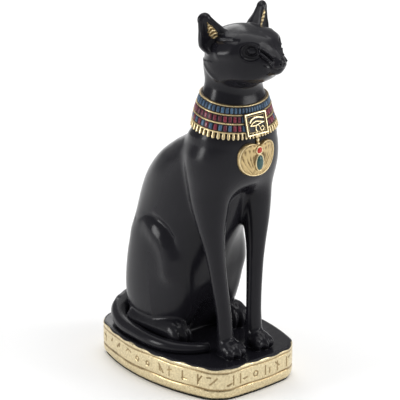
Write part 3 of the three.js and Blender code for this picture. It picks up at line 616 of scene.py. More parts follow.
def grid_object(name, points, wrap_rows=False, wrap_columns=True, ends=True, values=None):
    """Object from a grid (rows, columns, 3). Open ends of a tube are closed by fans. Values are
    named numbers at the points, kept for the materials."""
    rows, columns = points.shape[:2]
    flat = points.reshape(-1, 3)
    faces = grid_faces(rows, columns, wrap_rows, wrap_columns)
    extra = {}
    if ends and not wrap_rows:
        flat = np.vstack([flat, points[0].mean(0), points[-1].mean(0)])
        first, last = rows * columns, rows * columns + 1
        j = np.arange(columns)
        k = (j + 1) % columns
        faces += np.stack([np.full(columns, first), j, k], 1).tolist()
        low = (rows - 1) * columns
        faces += np.stack([np.full(columns, last), low + k, low + j], 1).tolist()
    made = mesh_object(name, flat, faces)
    for key, value in (values or {}).items():
        data = np.zeros(len(flat), np.float32)
        data[:rows * columns] = np.broadcast_to(value, (rows, columns)).ravel()
        if len(flat) > rows * columns:
            data[-2:] = data[0], data[rows * columns - 1]
        made.data.attributes.new(key, "FLOAT", "POINT").data.foreach_set("value", data)
    print(name, "has", sum(len(f) - 2 for f in faces), "triangles")
    return made


def inward(made):
    """True if the object's faces point inwards: its signed volume is negative."""
    mesh = made.data
    mesh.calc_loop_triangles()
    co = np.empty(len(mesh.vertices) * 3, np.float32)
    mesh.vertices.foreach_get("co", co)
    tri = np.empty(len(mesh.loop_triangles) * 3, np.int32)
    mesh.loop_triangles.foreach_get("vertices", tri)
    a, b, c = (co.reshape(-1, 3)[tri.reshape(-1, 3)[:, i]] for i in range(3))
    return float((a * np.cross(b, c)).sum()) < 0


def face_out(made):
    """Turns a closed mesh whose faces point inwards."""
    if inward(made):
        made.data.flip_normals()
    return made


print("grid helper ready")

# %% Tail tube
TAIL_ROWS = 200
TAIL_SIDES = 40


def tail_tube():
    """Round tube: each ring is the line's point plus radius times cosine outward and sine up."""
    line = smooth_line(TAIL, TAIL_ROWS)
    middle, radius = line[:, :3].copy(), line[:, 3].copy()
    along = np.gradient(middle, axis=0)
    along /= np.linalg.norm(along, axis=1)[:, None]
    tip = np.linspace(-1, 0, TAIL_ROWS)
    near_tip = np.clip((tip + 0.02) / 0.02, 0, 1)
    radius *= np.sqrt(1 - 0.98 * near_tip ** 2)
    out = np.stack([along[:, 1], -along[:, 0], np.zeros(TAIL_ROWS)], 1)
    out /= np.linalg.norm(out, axis=1)[:, None]
    up = np.cross(out, along)
    turn = np.arange(TAIL_SIDES) / TAIL_SIDES * 2 * np.pi
    ring = out[:, None] * np.cos(turn)[None, :, None] + up[:, None] * np.sin(turn)[None, :, None]
    return middle[:, None] + radius[:, None, None] * ring


cat_tail = face_out(grid_object("cat_tail", tail_tube()[10:]))

# %% [markdown]
# ## Where ornaments sit
#
# Collar, plaque and pendant all follow the cat's skin. Two small searches find it: how far the neck
# reaches from its upright axis in a direction, and how far forward the chest reaches at a place.
# Both halve an interval again and again, for a whole array of places at once.

# %% Reach of the neck and the chest
NECK_AXIS_Y = -29.0


def neck_form(p):
    """Neck and shoulders without head or legs."""
    side = (np.abs(p[0]), p[1], p[2])
    return blend(trunk(p), blend(chest(p), foreleg(side), 7), 2.5)


def neck_reach(angle, z):
    """Distance of the skin from the neck's axis."""
    inside, outside = np.full(np.shape(angle), 6.0), np.full(np.shape(angle), 42.0)
    for _ in range(24):
        middle = (inside + outside) / 2
        point = (middle * np.sin(angle), NECK_AXIS_Y - middle * np.cos(angle), z)
        within = neck_form(point) < 0
        inside = np.where(within, middle, inside)
        outside = np.where(within, outside, middle)
    return inside


def front_of(x, z):
    """Fore-and-aft place of the chest or neck at a sideways place and a height."""
    inside, outside = np.full(np.shape(x), NECK_AXIS_Y), np.full(np.shape(x), -75.0)
    for _ in range(24):
        middle = (inside + outside) / 2
        within = neck_form((x, middle, z)) < 0
        inside = np.where(within, middle, inside)
        outside = np.where(within, outside, middle)
    return inside


print("neck reach in front", neck_reach(np.zeros(1), np.full(1, 145.0)).round(2))

# %% [markdown]
# ## The collar
#
# A broad collar of the old kind: a gold rim, a row of blue tiles, a row of dark red tiles, a mixed
# row, and a fringe of gold drops. In the mould it is all one relief. Here the gold ground is a band
# round the neck with raised lines and drops, and the painted tiles are small pillows laid in its
# channels, so that each paint has its own mesh.

# %% Collar ground
COLLAR_TOP = 155.2
COLLAR_BOTTOM = 138.6
COLLAR_TILT = 0.17
COLLAR_RADIUS = 17.0
COLLAR_PROUD = 1.5
CHANNEL = 0.9
DROP_COUNT = 54
GOLD_LINES = (0.025, 0.285, 0.545, 0.8)
ROWS = ((0.06, 0.26), (0.31, 0.52), (0.57, 0.775))


def collar_point(angle, share, proud):
    """Place on the collar: share down from its top edge, and height above the skin."""
    tilt = -COLLAR_TILT * COLLAR_RADIUS * np.cos(angle)
    z = COLLAR_TOP + (COLLAR_BOTTOM - COLLAR_TOP) * share + tilt
    reach = neck_reach(angle, z) + proud
    return np.stack([reach * np.sin(angle), NECK_AXIS_Y - reach * np.cos(angle), z], -1)


def collar_relief(angle, share):
    """Height of the ground: bumps of width w on the gold lines, and a rounded drop for each step
    of the fringe, cut off by a circle below."""
    lines = sum(np.exp(-((share - at) / 0.017) ** 2) for at in GOLD_LINES)
    step = (angle / (2 * np.pi) * DROP_COUNT) % 1 - 0.5
    length = np.clip((share - 0.8) / 0.2, 0, 1)
    width = 0.34 - 0.1 * np.abs(length - 0.6)
    end = np.clip((length - 0.72) / 0.28, 0, 1)
    inside = 1 - (step / (width * np.sqrt(1 - end ** 2) + 1e-3)) ** 2
    drop = np.where(share > 0.8, np.sqrt(np.clip(inside, 0, 1)), 0)
    return np.clip(lines, 0, 1), drop


def collar_ground():
    """Closed band: outer face with its relief, turned in at both edges under the skin."""
    turns, steps = ((810, 92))
    share = np.linspace(0, 1, steps)
    angle = np.arange(turns) / turns * 2 * np.pi
    a, s = np.meshgrid(angle, share, indexing="ij")
    lines, drop = collar_relief(a, s)
    proud = CHANNEL + (COLLAR_PROUD - CHANNEL) * np.maximum(lines, drop)
    proud = np.where((s > 0.815) & (drop <= 0), 0.05, proud)
    fade = np.clip((1 - s) / 0.012, 0, 1)
    proud = proud * fade - 0.3 * (1 - fade)
    relief = np.maximum(lines, drop)
    gilt = np.clip(3 * lines + np.where(s > 0.8, 4 * drop, 0), 0, 1)
    ring = np.concatenate([
        collar_point(a[:, :1], s[:, :1], np.full_like(a[:, :1], -1.2)),
        collar_point(a, s, proud),
        collar_point(a[:, -1:], s[:, -1:], np.full_like(a[:, :1], -1.2)),
    ], 1)
    values = {"relief": relief, "gilt": gilt}
    values = {key: np.concatenate([v[:, :1], v, v[:, -1:]], 1) for key, v in values.items()}
    return grid_object("collar", ring, True, True, False, values)


collar = face_out(collar_ground())

# %% [markdown]
# Each tile is a low pillow: a small grid whose height falls to nothing at its four edges. The rows
# are cut in shares of the full turn. Their number is even and the third row alternates in colour,
# with a pair of wide red tiles beside the plaque.

# %% Collar tiles
TILE_GRID = 7
TILE_HEIGHT = 0.42
TILES_PER_ROW = (50, 44, 48)
PLAQUE_HALF_ANGLE = 0.40
WIDE_TILE = 0.17


def pillow(u, v):
    """Rounded height of a tile from -1..1 across and along: the product of two flattened bumps."""
    return (1 - np.abs(u) ** 6) ** 0.5 * (1 - np.abs(v) ** 6) ** 0.5


def tiles(name, spans):
    """One mesh of all tiles in spans of (angle from, angle to, share from, share to)."""
    span = np.array(spans)
    u, v = np.meshgrid(np.linspace(-1, 1, TILE_GRID), np.linspace(-1, 1, TILE_GRID), indexing="ij")
    shape = (len(span), TILE_GRID, TILE_GRID)
    angle = (span[:, 0] + span[:, 1])[:, None, None] / 2 + (span[:, 1] - span[:, 0])[:, None, None] / 2 * u
    share = (span[:, 2] + span[:, 3])[:, None, None] / 2 + (span[:, 3] - span[:, 2])[:, None, None] / 2 * v
    height = CHANNEL - 0.25 + (TILE_HEIGHT + 0.25) * np.broadcast_to(pillow(u, v), shape)
    top = collar_point(angle, share, height)
    under = collar_point(angle, share, np.full(shape, CHANNEL - 0.45))
    n = TILE_GRID * TILE_GRID
    edge = [i * TILE_GRID for i in range(TILE_GRID - 1)]
    edge += [(TILE_GRID - 1) * TILE_GRID + i for i in range(TILE_GRID - 1)]
    edge += [i * TILE_GRID + TILE_GRID - 1 for i in range(TILE_GRID - 1, 0, -1)]
    edge += [i for i in range(TILE_GRID - 1, 0, -1)]
    face = np.array(grid_faces(TILE_GRID, TILE_GRID, False, False))
    ring = np.array(edge)
    follow = np.roll(ring, -1)
    wall = np.stack([ring, follow, n + follow, n + ring], 1)
    one = np.concatenate([face[:, ::-1], face + n, wall])
    count = len(span)
    faces = (one[None] + (np.arange(count) * 2 * n)[:, None, None]).reshape(-1, 4)
    points = np.stack([top.reshape(count, n, 3), under.reshape(count, n, 3)], 1).reshape(-1, 3)
    made = mesh_object(name, points, faces.tolist())
    tone = np.repeat(np.random.default_rng(7).random(count), 2 * n).astype(np.float32)
    made.data.attributes.new("tone", "FLOAT", "POINT").data.foreach_set("value", tone)
    # Pillow height on the top faces and none underneath; the tile paint turns it into painted shade at each tile's
    # edges.
    face_relief_of_one = np.concatenate([pillow(u, v).ravel(), np.zeros(n)])
    relief = np.tile(face_relief_of_one, count).astype(np.float32)
    made.data.attributes.new("relief", "FLOAT", "POINT").data.foreach_set("value", relief)
    print(name, "has", count, "tiles and", 2 * len(faces), "triangles")
    return face_out(made)


def row_spans(row, count, start, stop):
    """Even spans between two angles, with a thin line of ground between the tiles."""
    low, high = ROWS[row]
    edge = np.linspace(start, stop, count + 1)
    line = 0.09 * (edge[1] - edge[0])
    return [(a + line, b - line, low, high) for a, b in zip(edge[:-1], edge[1:])]


blue_spans, red_spans = [], []
blue_spans += row_spans(0, TILES_PER_ROW[0], 0, 2 * np.pi)
start, stop = PLAQUE_HALF_ANGLE, 2 * np.pi - PLAQUE_HALF_ANGLE
for row in (1, 2):
    blue_spans += row_spans(row, 1, start, start + 0.7 * WIDE_TILE)
    blue_spans += row_spans(row, 1, stop - 0.7 * WIDE_TILE, stop)
    red_spans += row_spans(row, 2, start + 0.7 * WIDE_TILE, start + 2.3 * WIDE_TILE)
    red_spans += row_spans(row, 2, stop - 2.3 * WIDE_TILE, stop - 0.7 * WIDE_TILE)
    between = row_spans(row, TILES_PER_ROW[row] - 8, start + 2.3 * WIDE_TILE, stop - 2.3 * WIDE_TILE)
    red_spans += between if row == 1 else between[::2]
    blue_spans += [] if row == 1 else between[1::2]
blue_tiles = tiles("blue_tiles", blue_spans)
red_tiles = tiles("red_tiles", red_spans)

# %% [markdown]
# ## The plaque
#
# A square plaque hangs in front of the collar, with a raised gold frame and the traditional
# protective eye in gold on a black ground. It is a height map: a fine grid whose points are lifted
# by a number worked out from flat distances to strokes. The same number says where gold paint goes.

# %% Plaque
PLAQUE_HALF = 7.2
PLAQUE_TOP = 148.6
PLAQUE_BOTTOM = 137.2
PLAQUE_MIDDLE = (PLAQUE_TOP + PLAQUE_BOTTOM) / 2
PLAQUE_LEAN = 0.25
PLAQUE_FRAME = 1.15
PLAQUE_RELIEF = 0.6


def segment(x, z, a, b):
    """Flat distance to a straight segment."""
    d = np.subtract(b, a)
    t = np.clip(((x - a[0]) * d[0] + (z - a[1]) * d[1]) / (d @ d), 0, 1)
    return np.hypot(x - a[0] - t * d[0], z - a[1] - t * d[1])


def stroke(x, z, points, width):
    """Rounded height of a drawn stroke: 1 on its middle line, 0 past its half width."""
    near = np.min([segment(x, z, a, b) for a, b in zip(points[:-1], points[1:])], axis=0)
    return np.clip(1.25 * (1 - (near / width) ** 2), 0, 1)


def arc(centre, radius, start, stop, steps=12):
    """Points on an arc, angles in degrees."""
    t = np.radians(np.linspace(start, stop, steps))
    radius = np.linspace(*radius, steps) if isinstance(radius, tuple) else radius
    return list(zip(centre[0] + radius * np.cos(t), centre[1] + radius * np.sin(t)))


def protective_eye(x, z):
    """The wedjat in strokes: brow, lids, pupil, the drop below and the curl."""
    brow = stroke(x, z, [(-4.3, 1.1), (-3.2, 2.3), (-1.0, 3.1), (1.8, 3.0), (4.6, 2.2)], 0.62)
    upper = stroke(x, z, [(-4.2, -0.6), (-2.6, 0.6), (-0.4, 1.25), (1.6, 0.9), (4.6, 0.2)], 0.42)
    lower = stroke(x, z, [(-4.2, -0.6), (-2.2, -0.75), (-0.2, -0.8), (1.6, -0.3), (4.6, 0.2)], 0.4)
    pupil = stroke(x, z, [(-0.7, 0.25), (-0.5, 0.1)], 0.75)
    drop = stroke(x, z, [(-0.9, -0.9), (-1.1, -2.6), (-0.5, -4.1)], 0.5)
    curl = stroke(x, z, [(0.8, -0.7), (1.8, -2.2)] + arc((3.2, -2.4), (1.5, 0.6), 190, 500, 20), 0.36)
    return np.max([brow, upper, lower, drop, curl, pupil], axis=0), pupil


def plaque_plate():
    """Closed slab: a front face lifted by the relief and turned back at its four edges."""
    n, m = ((170, 140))
    u, v = np.meshgrid(np.linspace(-1, 1, n), np.linspace(-1, 1, m), indexing="ij")
    half_z = (PLAQUE_TOP - PLAQUE_BOTTOM) / 2
    x, z = u * PLAQUE_HALF, v * half_z
    edge = np.minimum(PLAQUE_HALF - np.abs(x), half_z - np.abs(z))
    frame_band = np.clip(1.3 * (1 - ((edge - 0.62) / 0.55) ** 2), 0, 1)
    inner = np.clip(1.2 * (1 - ((edge - 1.75) / 0.22) ** 2), 0, 1) * 0.7
    eye_relief, pupil = protective_eye(x, z)
    relief = np.max([frame_band, inner, eye_relief], axis=0)
    gilt = np.clip(relief * 1.6 - 0.25, 0, 1) * (1 - 0.9 * pupil)
    face = float(front_of(np.zeros(1), np.full(1, PLAQUE_MIDDLE))[0]) - 2.2
    y = face + PLAQUE_RELIEF * (1 - relief) + PLAQUE_LEAN * z
    rounded = np.clip(edge / 0.35, 0, 1)
    y = y + 0.35 * (1 - np.sqrt(1 - (1 - rounded) ** 2)) * (edge < 0.35)
    points = np.stack([x, y, z + PLAQUE_MIDDLE], -1)
    back = points.copy()
    back[..., 1] = face + 4.5 + PLAQUE_LEAN * z
    grid = np.concatenate([points, back[::-1]], 0)
    values = {"gilt": np.concatenate([gilt, gilt[::-1] * 0 + 1], 0), "relief": np.concatenate([relief, relief[::-1]], 0)}
    return grid, values


plaque_grid, plaque_values = plaque_plate()


def slab_object(name, grid, values):
    """Object from a front and a back sheet joined round their edges: the rows wrap, and each
    side is closed by a strip."""
    rows, columns = grid.shape[:2]
    faces = grid_faces(rows, columns, True, False)
    half = rows // 2
    for column, flip in ((0, True), (columns - 1, False)):
        front = np.arange(half) * columns + column
        back = (rows - 1 - np.arange(half)) * columns + column
        strip = np.stack([front[:-1], front[1:], back[1:], back[:-1]], 1)
        faces += (strip[:, ::-1] if flip else strip).tolist()
    made = mesh_object(name, grid.reshape(-1, 3), faces)
    for key, value in values.items():
        data = value.astype(np.float32).ravel()
        made.data.attributes.new(key, "FLOAT", "POINT").data.foreach_set("value", data)
    print(name, "has", 2 * len(faces), "triangles")
    return face_out(made)


plaque = slab_object("plaque", plaque_grid, plaque_values)

# %% [markdown]
# ## The pendant
#
# Below the plaque hangs a broad heart-shaped pendant with two spread wings in low relief, a round
# red stone at its notch and a tall green one below. Its grid runs in rings from the middle to the
# outline. Feathers are shallow grooves that follow the outline, crossed by finer lines that fan
# out, and a raised rim runs round the edge.

# %% Pendant
PENDANT_MIDDLE = 125.0
PENDANT_FACE = -47.4
PENDANT_LEAN = 0.07
PENDANT_CURVE = 0.016
PENDANT_DOME = 0.6
RED_STONE = dict(x=-0.8, z=129.9, half=(1.75, 1.75), proud=1.4)
GREEN_STONE = dict(x=0.0, z=123.2, half=(2.4, 4.1), proud=1.6)
STONE_SEAT = 0.3


def bezier(p0, p1, p2, p3, steps):
    """Cubic curve of four control points."""
    t = np.linspace(0, 1, steps)[:, None]
    p0, p1, p2, p3 = (np.array(p, float) for p in (p0, p1, p2, p3))
    return (1 - t) ** 3 * p0 + 3 * t * (1 - t) ** 2 * p1 + 3 * t * t * (1 - t) * p2 + t ** 3 * p3


def pendant_outline(steps):
    """From the notch round the lobe to the foot and back: two curves and their mirror image."""
    lobe = bezier((0, 131.3), (1.6, 133.6), (6.4, 135.2), (9.8, 132.2), steps)
    flank = bezier((9.8, 132.2), (14, 128.3), (13, 115.9), (0, 115.9), 2 * steps)
    half = np.vstack([lobe, flank[1:]])
    return np.vstack([half, (half * (-1, 1))[-2:0:-1]])


def plate_face(z):
    """Face of the pendant at a height: a plate that leans with the chest."""
    return PENDANT_FACE - PENDANT_LEAN * (z - PENDANT_MIDDLE)


def pendant_plate():
    """Rings from the middle to the outline, then down the edge into the chest."""
    outline = pendant_outline(60)
    rings = np.linspace(0.02, 1, 90)
    x = rings[:, None] * outline[None, :, 0]
    z = PENDANT_MIDDLE + rings[:, None] * (outline[None, :, 1] - PENDANT_MIDDLE)
    r = np.broadcast_to(rings[:, None], x.shape)
    fan = np.arctan2(np.abs(x), z - 112.0)
    ribs = 0.5 + 0.5 * np.cos((r * 3.6 + 0.5 * np.sin(fan * 9)) * 2 * np.pi)
    barbs = 0.5 + 0.5 * np.cos(fan * 46 + 9 * r)
    wing = np.clip((r - 0.3) / 0.1, 0, 1) * np.clip((0.9 - r) / 0.04, 0, 1)
    rim = np.exp(-((r - 0.95) / 0.035) ** 2)
    spine = np.exp(-(x / 0.7) ** 2) * 0.5
    relief = np.maximum(rim, np.maximum(spine, wing * (0.45 * ribs + 0.5 * barbs * (1 - 0.6 * ribs))))
    y = plate_face(z) + PENDANT_CURVE * x ** 2 - PENDANT_DOME * (1 - r) - 0.4 * relief
    edge = np.clip((r - 0.965) / 0.035, 0, 1)
    y = y + 0.5 * (1 - np.sqrt(1 - edge ** 2))
    depth = np.array([1.2, 2.4, 3.6])[:, None]
    wall_x = np.broadcast_to(outline[None, :, 0], (3, len(outline)))
    wall_z = np.broadcast_to(outline[None, :, 1], (3, len(outline)))
    wall_y = plate_face(wall_z) + PENDANT_CURVE * wall_x ** 2 + depth
    points = np.stack([np.vstack([x, wall_x]), np.vstack([y, wall_y]), np.vstack([z, wall_z])], -1)
    return points, np.vstack([0.1 + 0.9 * relief, np.full(wall_x.shape, 0.3)])


pendant_points, pendant_relief = pendant_plate()
pendant = face_out(grid_object("pendant", pendant_points, values={"relief": pendant_relief}))

# %% [markdown]
# The stones are domes with an oval outline, set in thin gold cups. The link between plaque and
# pendant is a short ribbed bar.

# %% Stones, cups and link


def dome(name, stone, grow=0.0, lift=0.0):
    """Half an egg on a short wall: radius cos t, height sin t."""
    t = np.linspace(0, np.pi / 2, 16)[::-1]
    turn = np.arange(48) / 48 * 2 * np.pi
    wide = np.cos(t)[:, None] + 0 * turn
    high = np.sin(t)[:, None] + 0 * turn
    seat = plate_face(stone["z"]) - STONE_SEAT
    x = stone["x"] + (stone["half"][0] + grow) * wide * np.cos(turn)
    z = stone["z"] + (stone["half"][1] + grow) * wide * np.sin(turn)
    y = seat - (stone["proud"] + lift) * high
    foot = np.stack([x[-1], y[-1] + 0.45, z[-1]], -1)[None]
    return face_out(grid_object(name, np.concatenate([np.stack([x, y, z], -1), foot])))


def cup(name, stone):
    """Gold ring round a stone: a small round profile carried round its oval outline."""
    turn = np.arange(72) / 72 * 2 * np.pi
    around = np.arange(12) / 12 * 2 * np.pi
    out = 0.1 + 0.45 * np.cos(around)[None, :]
    x = stone["x"] + (stone["half"][0] + out) * np.cos(turn)[:, None]
    z = stone["z"] + (stone["half"][1] + out) * np.sin(turn)[:, None]
    y = plate_face(stone["z"]) - STONE_SEAT - 0.25 + 0.55 * np.sin(around)[None, :] + 0 * x
    # The relief is highest on the ring's front and lowest at its back against the plate, so the gold gets a painted
    # highlight in front and painted shade behind.
    relief = 0.5 - 0.5 * np.sin(around)[None, :] + 0 * x
    return face_out(grid_object(name, np.stack([x, y, z], -1), True, True, False, {"relief": relief}))


def link_bar():
    """Bar of oval section with three swellings along its length."""
    t = np.linspace(0, 1, 40)
    turn = np.arange(20) / 20 * 2 * np.pi
    z = 137.8 - 6.2 * t
    y = front_of(np.zeros(40), z) - 0.5
    swell = 0.75 + 0.3 * np.abs(np.sin(t * 3 * np.pi))
    x = swell[:, None] * np.cos(turn)
    depth = y[:, None] + 0.8 * swell[:, None] * np.sin(turn)
    points = np.stack([x, depth, z[:, None] + 0 * x], -1)
    # The second value is a relief by swelling: the swellings get a painted highlight and the narrow parts painted
    # shade.
    return points, (swell[:, None] - 0.7) * 3 + 0 * x


red_stone = dome("red_stone", RED_STONE)
green_stone = dome("green_stone", GREEN_STONE)
red_cup = cup("red_stone_cup", RED_STONE)
green_cup = cup("green_stone_cup", GREEN_STONE)
link_points, link_relief = link_bar()
pendant_link = face_out(grid_object("pendant_link", link_points, values={"relief": np.clip(link_relief, 0, 1)}))

# %% [markdown]
# ## Gilded tufts in the ears
#
# A tuft of fur in each ear is picked out in gold. It is a leaf-shaped mound with ridges across it,
# on the inner wall of the hollow. It is worked out in the ear's own axes and mirrored for the other
# ear.

# %% Ear tufts
TUFT_RIDGES = 5.5


def tuft(sign):
    """Leaf on the hollow's floor: its width is sin(pi t^1.7)^0.75, widest low down, and its height
    a dome with slanting ridges."""
    w, n, u = axes_of(HOLLOW_FACING, EAR_RISE)
    rows, columns = 80, 40
    t = np.linspace(0.01, 0.99, rows)[:, None]
    c = np.linspace(-1, 1, columns)[None, :]
    lobe = 0.5 + 0.5 * np.cos((t * TUFT_RIDGES + 0.3) * 2 * np.pi)
    width = (1.9 + 0.8 * lobe) * np.sin(np.pi * t ** 1.6) ** 0.7
    ridge = 0.5 + 0.5 * np.cos((t * TUFT_RIDGES - 0.55 * np.abs(c) + 0.3) * 2 * np.pi)
    high = (0.5 + 0.75 * ridge) * np.sqrt(np.clip(1 - c ** 2, 0, 1)) * np.sin(np.pi * t) ** 0.4
    along = 9.6 - 10.6 * t
    floor_radius = HOLLOW_WIDE + (HOLLOW_TIP - HOLLOW_WIDE) * along / EAR_LENGTH
    floor_line = HOLLOW_LIFT - HOLLOW_FLAT * floor_radius
    across = -0.3 - 1.3 * t + width * c
    front = np.stack([across, floor_line + 0.1 + high, along + 0 * c], -1)
    back = front.copy()
    back[..., 1] = floor_line - 1.2
    grid = np.concatenate([front, back[::-1]], 0)
    place = np.array(EAR_BASE) + grid @ np.stack([w, n, u])
    place[..., 0] *= sign
    relief = np.concatenate([ridge + 0 * c, ridge[::-1] * 0 + 0 * c], 0)
    return place, {"relief": relief}


ear_tufts = [slab_object("ear_tuft_" + word, *tuft(sign)) for word, sign in (("left", 1), ("right", -1))]

# %% [markdown]
# ## The gilded side of the plinth
#
# The side carries two incised lines with a row of small marks between them. Old plinths have an
# inscription there. These marks are no letters of any kind: short strokes, angles and rings placed
# by a seeded random draw. The side is a grid: round the outline, and down a profile from the top
# face over the rounded edge to the foot. The grooves push the grid inward.

# %% Plinth side
SIDE_TURNS = 1180
UPPER_LINE = 15.6
LOWER_LINE = 6.3
MARK_BAND = (7.6, 14.2)
MARK_STEP = 8.4
LINE_DEPTH = 0.45
FOOT = PAD_TOP + 0.3


def outline_points(count):
    """Points evenly spaced on the plinth's outline: rays from the middle, halved onto it, and
    then spaced again by length."""
    t = np.linspace(0, 2 * np.pi, 8 * count + 1)
    inside, outside = np.full(t.shape, 10.0), np.full(t.shape, 70.0)
    for _ in range(24):
        r = (inside + outside) / 2
        within = plinth_edge((r * np.cos(t), r * np.sin(t))) < 0
        inside, outside = np.where(within, r, inside), np.where(within, outside, r)
    x, y = inside * np.cos(t), inside * np.sin(t)
    length = np.concatenate([[0], np.cumsum(np.hypot(np.diff(x), np.diff(y)))])
    even = np.linspace(0, length[-1], count + 1)[:-1]
    return np.interp(even, length, x), np.interp(even, length, y), even, length[-1]


def marks(along, z, total):
    """Depth of the row of marks: each is one to three strokes or a ring in its own cell."""
    rng = np.random.default_rng(21)
    depth = np.zeros(along.shape)
    low, high = MARK_BAND
    for cell in np.arange(0, total, MARK_STEP):
        near = np.abs((along - cell - MARK_STEP / 2 + total / 2) % total - total / 2) < MARK_STEP
        x = ((along[near] - cell + total / 2) % total) - total / 2
        h = z[near]
        kind = rng.integers(0, 4)
        a = rng.uniform((0.8, low + 0.6), (MARK_STEP - 1.2, high - 0.6), (4, 2))
        if kind == 0:
            near_line = np.abs(np.hypot(x - MARK_STEP / 2, h - (low + high) / 2) - rng.uniform(0.9, 1.5))
            cut = np.clip(1 - (near_line / 0.5) ** 2, 0, 1)
        elif kind == 1:
            cut = stroke(x, h, [a[0], (MARK_STEP / 2, high - 0.8), a[2]], 0.5)
        elif kind == 2:
            top = (a[0][0], high - 0.8)
            cut = np.maximum(stroke(x, h, [top, (a[0][0], low + 0.8)], 0.48), stroke(x, h, [a[1], a[3]], 0.48))
        else:
            cut = np.maximum(stroke(x, h, [a[0], (a[0][0] + 1.8, a[0][1])], 0.5), stroke(x, h, [a[1], a[2]], 0.46))
        depth[near] = np.maximum(depth[near], cut * rng.uniform(0.5, 1.0))
    return depth


def plinth_side():
    """Rows go round, columns down the profile. A point is the outline moved in along its normal."""
    x, y, along, total = outline_points(SIDE_TURNS)
    tangent = np.stack([np.roll(x, -1) - np.roll(x, 1), np.roll(y, -1) - np.roll(y, 1)], 1)
    tangent /= np.linalg.norm(tangent, axis=1)[:, None]
    normal = np.stack([tangent[:, 1], -tangent[:, 0]], 1)
    turn = np.linspace(0, np.pi / 2, 10)
    edge = 1.1
    inset = np.concatenate([[4.0, 2.0], edge - edge * np.sin(turn)])
    height = np.concatenate([[PLINTH_TOP - 0.6, PLINTH_TOP - 0.05], PLINTH_TOP - 0.02 - edge + edge * np.cos(turn)])
    straight = np.linspace(PLINTH_TOP - edge - 0.3, FOOT + 1.0, 54)
    tuck = 0.7 * np.clip(1 - (straight - FOOT) / 4, 0, 1) ** 2
    inset = np.concatenate([inset, tuck, [1.1, 4.0]])
    height = np.concatenate([height, straight, [FOOT, FOOT]])
    z = np.broadcast_to(height, (len(x), len(height)))
    s = np.broadcast_to(along[:, None], z.shape)
    wander = 0.25 * np.sin(s * 0.21) + 0.2 * np.sin(s * 0.083 + 1)
    lines = np.maximum(np.exp(-((z - UPPER_LINE - wander) / 0.42) ** 2) * 0.7, np.exp(-((z - LOWER_LINE - wander) / 0.5) ** 2))
    fade = 0.75 + 0.25 * np.sin(s * 0.37) * np.sin(s * 0.11)
    groove = np.maximum(lines * fade, marks(s, z, total) * 0.8)
    groove = groove * ((z < PLINTH_TOP - edge) & (z > FOOT + 1))
    inward_by = inset[None, :] + LINE_DEPTH * groove
    px = x[:, None] - inward_by * normal[:, :1]
    py = y[:, None] - inward_by * normal[:, 1:]
    paint_edge = PLINTH_TOP - 0.6 + 0.26 * np.sin(s * 0.5) + 0.26 * np.sin(s * 0.17 + 2)
    gilt = np.clip((paint_edge - z) / 0.16 + 0.5, 0, 1)
    points = np.stack([px, py, z], -1)
    # The grooves store a low relief, which gives them painted shade in the gold, and the flat band a painted
    # highlight.
    return points.transpose(1, 0, 2), {"gilt": gilt.T, "relief": (1 - groove).T}


side_points, side_values = plinth_side()
plinth_band = face_out(grid_object("plinth_side", side_points, values=side_values))

# %% Felt pad
PAD_INSET = 2.2


def felt_pad():
    """Thin pad with a soft edge: the outline moved inward, stacked in four rows."""
    x, y, _, _ = outline_points(260)
    scale = np.array([(1.6, 0.0), (PAD_INSET - 0.3, 0.02), (PAD_INSET - 0.6, 0.4), (PAD_INSET - 0.4, 0.8), (4, 1.0)])
    r = np.hypot(x, y)
    shrink = 1 - np.maximum(scale[:, :1], 1.6) / r[None]
    z = scale[:, 1:] * PAD_TOP + 0 * r[None]
    return np.stack([x[None] * shrink, y[None] * shrink, z], -1)


felt = face_out(grid_object("felt_base", felt_pad()))

# %% [markdown]
# ## Paint effects as node groups
#
# Hand painting leaves the same marks in every colour: the coat varies a little from stroke to
# stroke, and its surface is faintly uneven. One node group makes that unevenness and each paint
# uses it with its own scale. A second group turns the relief stored on a mesh into masks for the
# hollows, which get painted shade, and the ridges, which get a painted highlight.

# %% Node groups


def new_group(name, inputs, outputs):
    """Empty shader node group with float inputs (name, default) and outputs."""
    group = bpy.data.node_groups.new(name, "ShaderNodeTree")
    for label, default in inputs:
        group.interface.new_socket(label, in_out="INPUT", socket_type="NodeSocketFloat").default_value = default
    for label in outputs:
        group.interface.new_socket(label, in_out="OUTPUT", socket_type="NodeSocketFloat")
    return group, group.nodes.new("NodeGroupInput"), group.nodes.new("NodeGroupOutput")


def brushed_coat():
    """Large and small noise: Tone varies the colour, Grain the gloss, Height the surface."""
    group, source, result = new_group("Brushed coat", [("Scale", 300.0)], ["Tone", "Grain", "Height"])
    nodes, links = group.nodes, group.links
    place = nodes.new("ShaderNodeTexCoord")
    for label, factor, detail in (("Tone", 0.18, 2.0), ("Grain", 1.0, 3.0), ("Height", 0.6, 4.0)):
        scale = nodes.new("ShaderNodeMath")
        scale.operation = "MULTIPLY"
        scale.inputs[1].default_value = factor
        links.new(source.outputs["Scale"], scale.inputs[0])
        noise = nodes.new("ShaderNodeTexNoise")
        noise.inputs["Detail"].default_value = detail
        links.new(place.outputs["Object"], noise.inputs["Vector"])
        links.new(scale.outputs[0], noise.inputs["Scale"])
        links.new(noise.outputs["Fac"], result.inputs[label])
    return group


